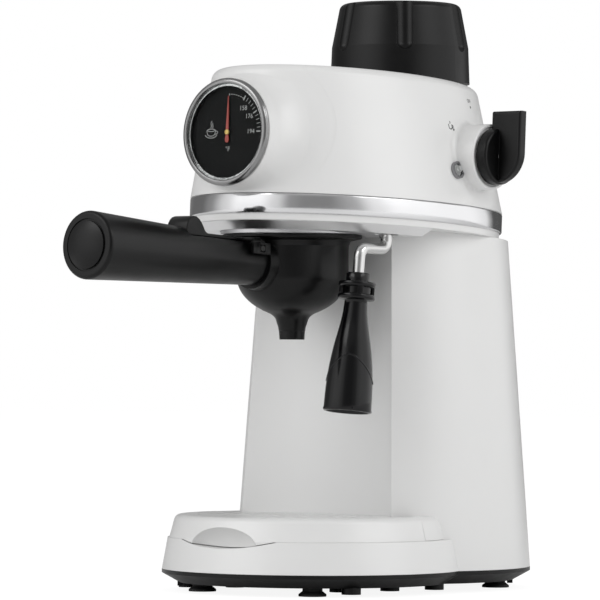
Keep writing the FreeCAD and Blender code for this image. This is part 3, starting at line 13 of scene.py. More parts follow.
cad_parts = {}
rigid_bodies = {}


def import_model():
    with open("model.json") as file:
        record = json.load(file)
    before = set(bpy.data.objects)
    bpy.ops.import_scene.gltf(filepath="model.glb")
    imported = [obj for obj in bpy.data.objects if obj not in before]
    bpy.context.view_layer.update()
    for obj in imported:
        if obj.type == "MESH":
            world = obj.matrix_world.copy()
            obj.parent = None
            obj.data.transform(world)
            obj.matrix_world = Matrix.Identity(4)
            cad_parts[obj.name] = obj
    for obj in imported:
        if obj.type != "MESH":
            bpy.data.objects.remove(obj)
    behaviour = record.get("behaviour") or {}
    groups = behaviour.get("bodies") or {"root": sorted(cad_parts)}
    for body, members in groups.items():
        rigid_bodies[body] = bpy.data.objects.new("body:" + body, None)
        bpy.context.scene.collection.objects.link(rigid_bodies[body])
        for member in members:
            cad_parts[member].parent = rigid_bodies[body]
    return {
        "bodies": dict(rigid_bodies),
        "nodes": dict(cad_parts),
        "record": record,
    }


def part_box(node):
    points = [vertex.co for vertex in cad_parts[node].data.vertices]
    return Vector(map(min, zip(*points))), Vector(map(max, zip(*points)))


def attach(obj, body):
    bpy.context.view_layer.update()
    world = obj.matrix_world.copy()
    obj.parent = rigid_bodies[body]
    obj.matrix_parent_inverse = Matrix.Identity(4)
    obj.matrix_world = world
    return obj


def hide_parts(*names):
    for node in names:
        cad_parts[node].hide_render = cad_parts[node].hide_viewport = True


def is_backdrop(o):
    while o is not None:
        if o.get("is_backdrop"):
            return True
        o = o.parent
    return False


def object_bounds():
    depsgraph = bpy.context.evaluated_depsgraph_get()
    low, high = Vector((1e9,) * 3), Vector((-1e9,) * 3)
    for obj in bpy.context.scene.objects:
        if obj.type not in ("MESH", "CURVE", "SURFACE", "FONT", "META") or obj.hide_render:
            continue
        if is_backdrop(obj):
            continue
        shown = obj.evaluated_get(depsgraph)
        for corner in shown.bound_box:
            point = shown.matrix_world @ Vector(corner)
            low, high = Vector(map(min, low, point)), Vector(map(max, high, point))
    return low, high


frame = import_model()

LOG = logging.getLogger("espresso_machine")
MM = 0.001
# Points closer than this, in millimetres, count as one.
MERGE_DISTANCE = 1e-4
# Heights closer than this, in millimetres, count as level.
SAME_LEVEL = 0.01
EDGE_SAMPLES = 4
# Numbers of a Mix node's colour sockets, which share their names with other sockets.
MIX_FIRST, MIX_SECOND, MIX_RESULT = 6, 7, 2
WHITE = (1.0, 1.0, 1.0, 1.0)
RIGHT, REAR, UP = Vector((1.0, 0.0, 0.0)), Vector((0.0, 1.0, 0.0)), Vector((0.0, 0.0, 1.0))

Pair = Tuple[float, float]
Triple = Tuple[float, float, float]
Colour = Tuple[float, float, float]
Outline = Tuple[Pair, ...]
Row = Callable[[float], Vector]
Values = Dict[Union[str, int], object]


@dataclass(frozen=True)
class MachineFrame:
    """Places machine millimetres, measured from the group axis, in the shared frame."""

    shift_x: float
    shift_y: float
    floor_level: float = 190.7
    tilt: float = math.radians(2.87)

    @classmethod
    def from_cad(cls) -> "MachineFrame":
        """Reads the group axis from the middle of the spout."""
        low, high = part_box("spout")
        return cls(0.5 * (low.x + high.x) / MM, 0.5 * (low.y + high.y) / MM)

    def upright(self) -> Matrix:
        """Matrix from machine millimetres to metres."""
        return Matrix.Scale(MM, 4) @ Matrix.Translation((self.shift_x, self.shift_y, 0.0))

    def leaning(self) -> Matrix:
        """Matrix from the head's own millimetres, before its tilt, to metres."""
        lift = Matrix.Translation((0.0, 0.0, self.floor_level))
        return self.upright() @ lift @ Matrix.Rotation(-self.tilt, 4, "X")


def axes(origin: Vector, right: Vector, up: Vector) -> Matrix:
    """Makes a local frame whose third axis points out of a face.

    Args:
        origin: where the frame sits.
        right: first axis.
        up: second axis, made square to the first.

    Returns:
        The frame as a matrix.
    """
    first = right.normalized()
    third = first.cross(up).normalized()
    second = third.cross(first)
    turn = Matrix((first, second, third)).transposed().to_4x4()
    return Matrix.Translation(origin) @ turn


def turned(profile: Sequence[Pair], steps: int = 96) -> bmesh.types.BMesh:
    """Turns a profile about the local third axis.

    Args:
        profile: radius and height of each point.
        steps: number of sides.

    Returns:
        The closed or open turned mesh.
    """
    part = bmesh.new()
    verts = [part.verts.new((radius, 0.0, height)) for radius, height in profile]
    edges = [part.edges.new(pair) for pair in zip(verts, verts[1:])]
    bmesh.ops.spin(
        part, geom=verts + edges, axis=(0, 0, 1), cent=(0, 0, 0), angle=2 * math.pi, steps=steps,
        use_merge=True,
    )
    bmesh.ops.remove_doubles(part, verts=part.verts, dist=MERGE_DISTANCE)
    bmesh.ops.recalc_face_normals(part, faces=part.faces)
    return part


def skinned(rows: Sequence[Row], segments: int = 128) -> bmesh.types.BMesh:
    """Extrudes a ring of edges through a series of rows.

    Args:
        rows: functions that give the point of a row at an angle.
        segments: number of points in each ring.

    Returns:
        The skin, open at its first and last row.
    """
    part = bmesh.new()
    layer = part.verts.layers.float.new("angle")
    bmesh.ops.create_circle(part, cap_ends=False, segments=segments, radius=1.0)
    for vert in part.verts:
        vert[layer] = math.atan2(vert.co.y, vert.co.x)
        vert.co = rows[0](vert[layer])
    edges = list(part.edges)
    for row in rows[1:]:
        made = bmesh.ops.extrude_edge_only(part, edges=edges)["geom"]
        verts = {item for item in made if isinstance(item, bmesh.types.BMVert)}
        edges = [
            item for item in made
            if isinstance(item, bmesh.types.BMEdge) and item.verts[0] in verts and item.verts[1] in verts
        ]
        for vert in verts:
            vert.co = row(vert[layer])
    return part


def facing(part: bmesh.types.BMesh, outward: Vector) -> bmesh.types.BMesh:
    """Turns an open skin so that its face side points outwards.

    Args:
        part: the skin.
        outward: the way it should face.

    Returns:
        The same skin.
    """
    bmesh.ops.recalc_face_normals(part, faces=part.faces)
    if sum(face.normal.dot(outward) * face.calc_area() for face in part.faces) < 0.0:
        bmesh.ops.reverse_faces(part, faces=part.faces)
    return part


def round_edges(part: bmesh.types.BMesh, edges: Sequence[bmesh.types.BMEdge], width: float) -> None:
    """Rounds edges of a part over a width."""
    bmesh.ops.bevel(
        part, geom=edges, offset=width, offset_type="OFFSET", affect="EDGES", segments=3, profile=0.5,
        material=-1,
    )


def brick(size: Triple, centre: Triple, edge: float) -> bmesh.types.BMesh:
    """Makes a block with rounded edges.

    Args:
        size: lengths along the three axes.
        centre: middle of the block.
        edge: width of the rounding.

    Returns:
        The closed mesh.
    """
    part = bmesh.new()
    bmesh.ops.create_cube(part, size=1.0)
    bmesh.ops.scale(part, vec=size, verts=part.verts)
    bmesh.ops.translate(part, vec=centre, verts=part.verts)
    round_edges(part, list(part.edges), edge)
    return part


def plate(outline: Sequence[Pair], depth: float) -> bmesh.types.BMesh:
    """Makes a flat plate from its outline.

    Args:
        outline: corners in the plane, in order.
        depth: thickness along the third axis.

    Returns:
        The closed mesh.
    """
    part = bmesh.new()
    face = part.faces.new([part.verts.new((across, up, 0.0)) for across, up in outline])
    grown = bmesh.ops.extrude_face_region(part, geom=[face])
    moved = [item for item in grown["geom"] if isinstance(item, bmesh.types.BMVert)]
    bmesh.ops.translate(part, vec=(0.0, 0.0, depth), verts=moved)
    bmesh.ops.recalc_face_normals(part, faces=list(part.faces))
    return part


def from_curve(curve: bpy.types.Curve) -> bmesh.types.BMesh:
    """Turns a curve or a text into a mesh.

    Args:
        curve: the curve data, which is used up.

    Returns:
        The mesh in the curve's own plane.
    """
    holder = bpy.data.objects.new("holder", curve)
    bpy.context.scene.collection.objects.link(holder)
    graph = bpy.context.evaluated_depsgraph_get()
    mesh = bpy.data.meshes.new_from_object(holder.evaluated_get(graph))
    part = bmesh.new()
    part.from_mesh(mesh)
    bpy.data.objects.remove(holder)
    bpy.data.curves.remove(curve)
    bpy.data.meshes.remove(mesh)
    return part


def lettered(text: str, size: float) -> bmesh.types.BMesh:
    """Makes flat letters centred on the origin.

    Args:
        text: the characters.
        size: their size in millimetres.

    Returns:
        The flat mesh, facing along the third axis.
    """
    curve = bpy.data.curves.new("letters", "FONT")
    curve.body = text
    curve.size = size
    curve.align_x = "CENTER"
    curve.align_y = "CENTER"
    curve.resolution_u = 3
    return from_curve(curve)


def tube(
    points: Sequence[Triple], radius: float, roundness: int, steps: int, closed: bool = False
) -> bmesh.types.BMesh:
    """Makes a smooth tube along control points.

    Args:
        points: control points of its middle line.
        radius: radius of the tube.
        roundness: how finely its section is divided.
        steps: how finely its length is divided.
        closed: whether it runs back to its start.

    Returns:
        The tube as a mesh.
    """
    curve = bpy.data.curves.new("tube", "CURVE")
    curve.dimensions = "3D"
    curve.bevel_depth = radius
    curve.bevel_resolution = roundness
    curve.resolution_u = steps
    curve.use_fill_caps = True
    spline = curve.splines.new("NURBS")
    spline.points.add(len(points) - 1)
    for point, spot in zip(spline.points, points):
        point.co = (*spot, 1.0)
    spline.use_endpoint_u = not closed
    spline.use_cyclic_u = closed
    spline.order_u = 3
    return from_curve(curve)


def stroke(points: Sequence[Pair], radius: float, closed: bool = False) -> bmesh.types.BMesh:
    """Makes a smooth, flattened line through points in a plane, as print.

    Args:
        points: control points of the line.
        radius: half of the line's width.
        closed: whether the line runs back to its start.

    Returns:
        The line as a mesh.
    """
    flatten = (1.0, 1.0, 0.3)
    middle = [(across, up, 0.0) for across, up in points]
    part = tube(middle, radius, roundness=1, steps=6, closed=closed)
    bmesh.ops.scale(part, vec=flatten, verts=part.verts)
    return part


class Shaper:
    """A piece in the making: parts in millimetres, joined into one mesh in metres."""

    def __init__(self, name: str) -> None:
        """Starts an empty piece."""
        self.name = name
        self.mesh = bmesh.new()

    def add(self, part: bmesh.types.BMesh, matrix: Matrix) -> "Shaper":
        """Joins a part to the piece.

        Args:
            part: the part, which is used up.
            matrix: its place.

        Returns:
            The piece itself.
        """
        bmesh.ops.transform(part, matrix=matrix, verts=part.verts)
        for face in part.faces:
            face.material_index = 0
            face.smooth = True
        store = bpy.data.meshes.new("part")
        part.to_mesh(store)
        part.free()
        self.mesh.from_mesh(store)
        bpy.data.meshes.remove(store)
        return self

    def piece(
        self, body: str, slot: str, finish: bpy.types.Material, replaces: Sequence[str] = (),
        sharp_deg: float = 38.0,
    ) -> None:
        """Ends the piece as an object that rides on a body.

        Args:
            body: the body it moves with.
            slot: the record's slot of the piece; not used.
            finish: its material.
            replaces: nodes that it stands for.
            sharp_deg: edges sharper than this stay crisp.
        """
        data = bpy.data.meshes.new(self.name)
        self.mesh.to_mesh(data)
        self.mesh.free()
        data.materials.append(finish)
        data.set_sharp_from_angle(angle=math.radians(sharp_deg))
        made = bpy.data.objects.new(self.name, data)
        bpy.context.scene.collection.objects.link(made)
        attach(made, body)
        if replaces:
            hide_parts(*replaces)
        LOG.info("%s rides on %s, %d faces", self.name, body, len(data.polygons))


def blank_tree(owner: Union[bpy.types.Material, bpy.types.World]) -> bpy.types.NodeTree:
    """Gives a material or a world an empty node tree.

    Args:
        owner: the material or the world.

    Returns:
        Its tree, with no nodes.
    """
    owner.use_nodes = True
    owner.node_tree.nodes.clear()
    return owner.node_tree


def set_inputs(node: bpy.types.Node, values: Values) -> None:
    """Sets inputs of a node by name or number."""
    for name, value in values.items():
        node.inputs[name].default_value = value


def add_node(
    tree: bpy.types.NodeTree, kind: str, values: Optional[Values] = None, **settings: object
) -> bpy.types.Node:
    """Adds a shader node.

    Args:
        tree: the tree it goes into.
        kind: its type, without the prefix that all of them share.
        values: inputs to set, by name or number.
        settings: attributes to set, before the inputs.

    Returns:
        The node.
    """
    made = tree.nodes.new("ShaderNode" + kind)
    for name, setting in settings.items():
        setattr(made, name, setting)
    set_inputs(made, values or {})
    return made


def wire(tree: bpy.types.NodeTree, *links: Tuple[bpy.types.NodeSocket, bpy.types.NodeSocket]) -> None:
    """Links outputs to inputs, given in pairs."""
    for start, end in links:
        tree.links.new(start, end)


class Effect(Enum):
    """Shared surface effects, each a node group."""

    MOTTLE = "Mottle"
    ROUGH = "RoughnessDrift"
    GRAIN = "FineGrain"
    WEAR = "EdgeWear"


class Socket(Enum):
    """Kinds of a group's sockets."""

    FLOAT = "NodeSocketFloat"
    COLOUR = "NodeSocketColor"
    VECTOR = "NodeSocketVector"


class EffectKit:
    """Makes the node groups that the finishes share."""

    DRIFT_RANGE: Pair = (0.3, 0.7)
    WEAR_RANGE: Pair = (0.995, 0.8)
    WEAR_WIDTH: float = 0.0008

    def __init__(self) -> None:
        """Builds every group once."""
        self.groups: Dict[Effect, bpy.types.NodeTree] = {
            Effect.MOTTLE: self.mottle(),
            Effect.ROUGH: self.rough(),
            Effect.GRAIN: self.grain(),
            Effect.WEAR: self.wear(),
        }

    @staticmethod
    def start(
        effect: Effect, inputs: Dict[str, Socket], output: Tuple[str, Socket]
    ) -> Tuple[bpy.types.NodeTree, bpy.types.Node, bpy.types.Node]:
        """Starts a group with its sockets.

        Args:
            effect: which effect it is.
            inputs: kind of each input by name.
            output: name and kind of the output.

        Returns:
            The tree, its input node and its output node.
        """
        tree = bpy.data.node_groups.new(effect.value, "ShaderNodeTree")
        for name, kind in inputs.items():
            tree.interface.new_socket(name=name, in_out="INPUT", socket_type=kind.value)
        tree.interface.new_socket(name=output[0], in_out="OUTPUT", socket_type=output[1].value)
        return tree, tree.nodes.new("NodeGroupInput"), tree.nodes.new("NodeGroupOutput")

    @staticmethod
    def noise(tree: bpy.types.NodeTree, source: bpy.types.Node, detail: float) -> bpy.types.NodeSocket:
        """Adds a noise that reads the group's vector and scale.

        Args:
            tree: the group.
            source: its input node.
            detail: how fine the noise is.

        Returns:
            The noise's value.
        """
        made = add_node(tree, "TexNoise", {"Detail": detail})
        for name in ("Vector", "Scale"):
            wire(tree, (source.outputs[name], made.inputs[name]))
        return made.outputs["Fac"]

    def mottle(self) -> bpy.types.NodeTree:
        """Makes a colour that drifts a little lighter and darker.

        Returns:
            The group.
        """
        tree, source, sink = self.start(
            Effect.MOTTLE,
            {"Vector": Socket.VECTOR, "Scale": Socket.FLOAT, "Colour": Socket.COLOUR,
             "Second": Socket.COLOUR},
            ("Colour", Socket.COLOUR),
        )
        mix = add_node(tree, "Mix", data_type="RGBA")
        wire(
            tree,
            (self.noise(tree, source, detail=3.0), mix.inputs["Factor"]),
            (source.outputs["Colour"], mix.inputs[MIX_FIRST]),
            (source.outputs["Second"], mix.inputs[MIX_SECOND]),
            (mix.outputs[MIX_RESULT], sink.inputs["Colour"]),
        )
        return tree

    def rough(self) -> bpy.types.NodeTree:
        """Makes a roughness that drifts between two values.

        Returns:
            The group.
        """
        tree, source, sink = self.start(
            Effect.ROUGH,
            {"Vector": Socket.VECTOR, "Scale": Socket.FLOAT, "Low": Socket.FLOAT, "High": Socket.FLOAT},
            ("Roughness", Socket.FLOAT),
        )
        low, high = self.DRIFT_RANGE
        spread = add_node(tree, "MapRange", {"From Min": low, "From Max": high})
        wire(
            tree,
            (self.noise(tree, source, detail=4.0), spread.inputs["Value"]),
            (source.outputs["Low"], spread.inputs["To Min"]),
            (source.outputs["High"], spread.inputs["To Max"]),
            (spread.outputs["Result"], sink.inputs["Roughness"]),
        )
        return tree

    def grain(self) -> bpy.types.NodeTree:
        """Makes the height of a fine moulded or drawn grain.

        Returns:
            The group.
        """
        tree, source, sink = self.start(
            Effect.GRAIN, {"Vector": Socket.VECTOR, "Scale": Socket.FLOAT}, ("Height", Socket.FLOAT)
        )
        wire(tree, (self.noise(tree, source, detail=2.0), sink.inputs["Height"]))
        return tree

    def wear(self) -> bpy.types.NodeTree:
        """Makes a colour that turns paler along rubbed edges.

        Returns:
            The group.
        """
        tree, source, sink = self.start(
            Effect.WEAR,
            {"Colour": Socket.COLOUR, "Worn": Socket.COLOUR, "Amount": Socket.FLOAT},
            ("Colour", Socket.COLOUR),
        )
        flat, sharp = self.WEAR_RANGE
        soft = add_node(tree, "Bevel", {"Radius": self.WEAR_WIDTH}, samples=EDGE_SAMPLES)
        plain = add_node(tree, "NewGeometry")
        dot = add_node(tree, "VectorMath", operation="DOT_PRODUCT")
        spread = add_node(tree, "MapRange", {"From Min": flat, "From Max": sharp})
        scale = add_node(tree, "Math", operation="MULTIPLY")
        mix = add_node(tree, "Mix", data_type="RGBA")
        wire(
            tree,
            (soft.outputs["Normal"], dot.inputs[0]),
            (plain.outputs["Normal"], dot.inputs[1]),
            (dot.outputs["Value"], spread.inputs["Value"]),
            (spread.outputs["Result"], scale.inputs[0]),
            (source.outputs["Amount"], scale.inputs[1]),
            (scale.outputs["Value"], mix.inputs["Factor"]),
            (source.outputs["Colour"], mix.inputs[MIX_FIRST]),
            (source.outputs["Worn"], mix.inputs[MIX_SECOND]),
            (mix.outputs[MIX_RESULT], sink.inputs["Colour"]),
        )
        return tree


@dataclass(frozen=True)
class Finish:
    """One surface finish: its colour, gloss, grain and wear."""

    name: str
    colour: Colour
    low: float
    high: float
    metallic: float = 0.0
    coat: float = 0.0
    coat_roughness: float = 0.08
    drift: float = 0.06
    drift_scale: float = 40.0
    rough_finer: float = 2.3
    grain_scale: float = 2600.0
    grain_strength: float = 0.06
    grain_depth: float = 0.00004
    stretch: Triple = (1.0, 1.0, 1.0)
    soft_edge: float = 0.0004
    wear: float = 0.0
    worn: Colour = (0.1, 0.1, 0.1)
    ior: float = 1.5

    def second(self) -> Colour:
        """The other end of the colour's drift."""
        red, green, blue = (part * (1.0 - self.drift) for part in self.colour)
        return red, green, blue

    def build(self, kit: EffectKit) -> bpy.types.Material:
        """Makes the material.

        Args:
            kit: the shared effects.

        Returns:
            The node material.
        """
        material = bpy.data.materials.new(self.name)
        material.use_nodes = True
        tree = material.node_tree
        shader = tree.nodes["Principled BSDF"]
        set_inputs(shader, {
            "Metallic": self.metallic, "IOR": self.ior, "Coat Weight": self.coat,
            "Coat Roughness": self.coat_roughness,
        })
        place = add_node(tree, "TexCoord")
        mapping = add_node(tree, "Mapping", {"Scale": self.stretch})
        wire(tree, (place.outputs["Object"], mapping.inputs["Vector"]))

        def group(effect: Effect, values: Values) -> bpy.types.Node:
            """Adds one of the shared effects.

            Args:
                effect: which effect it is.
                values: its inputs.

            Returns:
                The group's node.
            """
            node = add_node(tree, "Group", values, node_tree=kit.groups[effect])
            if "Vector" in node.inputs:
                wire(tree, (mapping.outputs["Vector"], node.inputs["Vector"]))
            return node

        colours = {"Colour": (*self.colour, 1.0), "Second": (*self.second(), 1.0)}
        last = group(Effect.MOTTLE, {"Scale": self.drift_scale, **colours}).outputs["Colour"]
        if self.wear > 0.0:
            wear = group(Effect.WEAR, {"Worn": (*self.worn, 1.0), "Amount": self.wear})
            wire(tree, (last, wear.inputs["Colour"]))
            last = wear.outputs["Colour"]
        gloss = {"Scale": self.drift_scale * self.rough_finer, "Low": self.low, "High": self.high}
        rough = group(Effect.ROUGH, gloss)
        grain = group(Effect.GRAIN, {"Scale": self.grain_scale})
        bump = add_node(tree, "Bump", {"Strength": self.grain_strength, "Distance": self.grain_depth})
        if self.soft_edge > 0.0:
            soft = add_node(tree, "Bevel", {"Radius": self.soft_edge}, samples=EDGE_SAMPLES)
            wire(tree, (soft.outputs["Normal"], bump.inputs["Normal"]))
        wire(
            tree,
            (last, shader.inputs["Base Color"]),
            (rough.outputs["Roughness"], shader.inputs["Roughness"]),
            (grain.outputs["Height"], bump.inputs["Height"]),
            (bump.outputs["Normal"], shader.inputs["Normal"]),
        )
        return material


@dataclass(frozen=True)
class ClearFinish:
    """Clear glass that lets light through to what lies behind it."""

    name: str
    colour: Colour = (0.97, 0.98, 0.98)
    low: float = 0.02
    high: float = 0.06
    drift_scale: float = 60.0
    ior: float = 1.04

    def build(self, kit: EffectKit) -> bpy.types.Material:
        """Makes the material: clear, with a thin shine on the outer side.

        Args:
            kit: the shared effects.

        Returns:
            The node material.
        """
        material = bpy.data.materials.new(self.name)
        tree = blank_tree(material)
        sink = add_node(tree, "OutputMaterial")
        through = add_node(tree, "BsdfTransparent", {"Color": (*self.colour, 1.0)})
        shine = add_node(tree, "BsdfGlossy")
        place = add_node(tree, "TexCoord")
        gloss = {"Scale": self.drift_scale, "Low": self.low, "High": self.high}
        drift = add_node(tree, "Group", gloss, node_tree=kit.groups[Effect.ROUGH])
        edge = add_node(tree, "Fresnel", {"IOR": self.ior})
        side = add_node(tree, "NewGeometry")
        front = add_node(tree, "Math", {0: 1.0}, operation="SUBTRACT")
        share = add_node(tree, "Math", operation="MULTIPLY")
        mix = add_node(tree, "MixShader")
        wire(
            tree,
            (place.outputs["Object"], drift.inputs["Vector"]),
            (drift.outputs["Roughness"], shine.inputs["Roughness"]),
            (side.outputs["Backfacing"], front.inputs[1]),
            (edge.outputs["Fac"], share.inputs[0]),
            (front.outputs["Value"], share.inputs[1]),
            (share.outputs["Value"], mix.inputs["Fac"]),
            (through.outputs["BSDF"], mix.inputs[1]),
            (shine.outputs["BSDF"], mix.inputs[2]),
            (mix.outputs["Shader"], sink.inputs["Surface"]),
        )
        return material


FINISHES: Tuple[Union[Finish, ClearFinish], ...] = (
    Finish("white_plastic", (0.775, 0.775, 0.77), 0.30, 0.38, coat=0.15, drift=0.02, grain_strength=0.04),
    Finish("black_plastic", (0.0016, 0.0016, 0.0018), 0.30, 0.38, drift=0.2, grain_strength=0.14,
           grain_depth=0.00006, wear=0.35, worn=(0.005, 0.005, 0.0055), ior=1.34),
    Finish("gloss_black", (0.0015, 0.0015, 0.002), 0.10, 0.17, drift=0.15, grain_strength=0.03, ior=1.4),
    Finish("chrome", (0.78, 0.78, 0.79), 0.09, 0.15, metallic=1.0, drift=0.04, grain_strength=0.02),
    # Chrome of the thermometer bezel given a dark colour: painted shade that stands in for the dark
    # reflections of the ring.
    Finish("bezel_chrome_painted_dark", (0.30, 0.30, 0.30), 0.18, 0.26, metallic=1.0, drift=0.06, grain_strength=0.03),
    # Metal of the pilot lamp ring given a dark colour: painted shade that stands in for the ring's dark
    # reflections.
    Finish("lamp_ring_painted_dark", (0.30, 0.30, 0.31), 0.2, 0.3, metallic=1.0, drift=0.1, soft_edge=0.0),
    Finish("satin_metal", (0.88, 0.88, 0.885), 0.30, 0.38, metallic=1.0, drift=0.05, grain_strength=0.06),
    Finish("blackened_steel", (0.02, 0.02, 0.02), 0.3, 0.42, metallic=0.4, drift=0.2, grain_strength=0.08),
    Finish("steel", (0.66, 0.66, 0.655), 0.16, 0.24, metallic=1.0, drift=0.06, grain_scale=900.0,
           grain_strength=0.05, stretch=(1.0, 1.0, 9.0)),
    Finish("aluminium", (0.62, 0.62, 0.63), 0.34, 0.48, metallic=1.0, drift=0.1, grain_strength=0.2),
    Finish("brass", (0.70, 0.50, 0.22), 0.22, 0.34, metallic=1.0, drift=0.12, grain_strength=0.08),
    Finish("rubber", (0.016, 0.016, 0.016), 0.62, 0.78, drift=0.25, grain_strength=0.3, grain_depth=0.0001),
    Finish("dial_black", (0.009, 0.009, 0.009), 0.50, 0.62, drift=0.15, grain_strength=0.1, soft_edge=0.0,
           ior=1.15),
    Finish("needle_red", (0.36, 0.04, 0.025), 0.35, 0.45, drift=0.1, soft_edge=0.0002),
    Finish("ceramic_white", (0.78, 0.75, 0.68), 0.22, 0.32, drift=0.06),
    Finish("dial_print", (0.40, 0.40, 0.39), 0.5, 0.6, drift=0.12, soft_edge=0.0),
    Finish("shell_print", (0.03, 0.03, 0.03), 0.5, 0.6, drift=0.2, soft_edge=0.0),
    Finish("hub_yellow", (0.62, 0.44, 0.14), 0.3, 0.4, metallic=0.6, drift=0.1, soft_edge=0.0),
    ClearFinish("glass"),
)

SPECIAL_FINISHES: Dict[str, str] = {
    "latch_pin": "blackened_steel",
    "wand_socket": "steel",
    "underside_dish": "satin_metal",
    # The lamp's ring gets a darkened metal colour: painted shade for its dark reflections.
    "lamp_bezel": "lamp_ring_painted_dark",
}


class Paintbox:
    """All materials by name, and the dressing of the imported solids."""

    def __init__(self) -> None:
        """Builds every finish."""
        kit = EffectKit()
        self.materials: Dict[str, bpy.types.Material] = {
            finish.name: finish.build(kit) for finish in FINISHES
        }

    def __getitem__(self, name: str) -> bpy.types.Material:
        """Gives a material by its name."""
        return self.materials[name]

    def dress_solids(self) -> None:
        """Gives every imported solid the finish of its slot, or its own special one."""
        for subpart in frame["record"]["subparts"]:
            node = frame["nodes"][subpart["node"]]
            name = SPECIAL_FINISHES.get(subpart["node"], subpart["material_slot"])
            if not node.material_slots:
                node.data.materials.append(self[name])
            for slot in node.material_slots:
                slot.material = self[name]
            LOG.info("%s dressed as %s", node.name, name)


class Assembly(Protocol):
    """A sub-assembly of the machine, which makes its own pieces."""

    def build(self, place: MachineFrame, paint: Paintbox) -> None:
        """Makes the pieces where the machine stands, in its finishes."""


@dataclass
class HeadForm:
    """The oval head before its tilt, as a wall that draws in towards the top."""

    half_x: float = 75.0
    half_y: float = 94.0
    centre_y: float = 45.8
    bottom: float = 13.8
    top: float = 80.8
    edge_round: float = 4.5
    side_draft: float = math.tan(math.radians(13.0))
    end_draft: float = math.tan(math.radians(8.5))
    lean: float = 5.2 / 67.0
    probe: float = 0.5

    def section(self, height: float, inset: float = 0.0) -> Triple:
        """Measures the oval at a height.

        Args:
            height: height above the head's floor.
            inset: distance inside the wall.

        Returns:
            Half width, half depth and depth of the middle.
        """
        rise = max(0.0, height - self.bottom)
        draw = max(0.0, height - (self.top - self.edge_round))
        draw = min(draw, self.edge_round)
        corner = self.edge_round - math.sqrt(self.edge_round ** 2 - draw ** 2)
        lost = inset + corner
        return (
            self.half_x - rise * self.side_draft - lost,
            self.half_y - rise * self.end_draft - lost,
            self.centre_y - self.lean * rise,
        )

    def row(self, height: float, inset: float = 0.0) -> Row:
        """Row of points round the wall at a height."""
        half_x, half_y, centre_y = self.section(height, inset)
        return lambda angle: Vector((half_x * math.cos(angle), centre_y + half_y * math.sin(angle), height))

    def front(self, x: float, height: float) -> float:
        """Depth of the front wall at a place."""
        half_x, half_y, centre_y = self.section(height)
        return centre_y - half_y * math.sqrt(max(0.0, 1.0 - (x / half_x) ** 2))

    def side(self, y: float, height: float) -> float:
        """Width of the right wall at a place."""
        half_x, half_y, centre_y = self.section(height)
        return half_x * math.sqrt(max(0.0, 1.0 - ((y - centre_y) / half_y) ** 2))

    def side_frame(self, y: float, height: float) -> Matrix:
        """Makes a frame on the right wall, with its third axis pointing out.

        Args:
            y: depth of its place.
            height: height of its place.

        Returns:
            The frame as a matrix.
        """
        behind, above = y + self.probe, height + self.probe
        here = Vector((self.side(y, height), y, height))
        along = Vector((self.side(behind, height), behind, height)) - here
        rise = Vector((self.side(y, above), y, above)) - here
        return axes(here, along, rise)


def hollow(share: float) -> Triple:
    """Weights of the start, the corner and the end of a hollow run, at a share of its way."""
    return (1 - share) ** 2, 2 * share * (1 - share), share ** 2


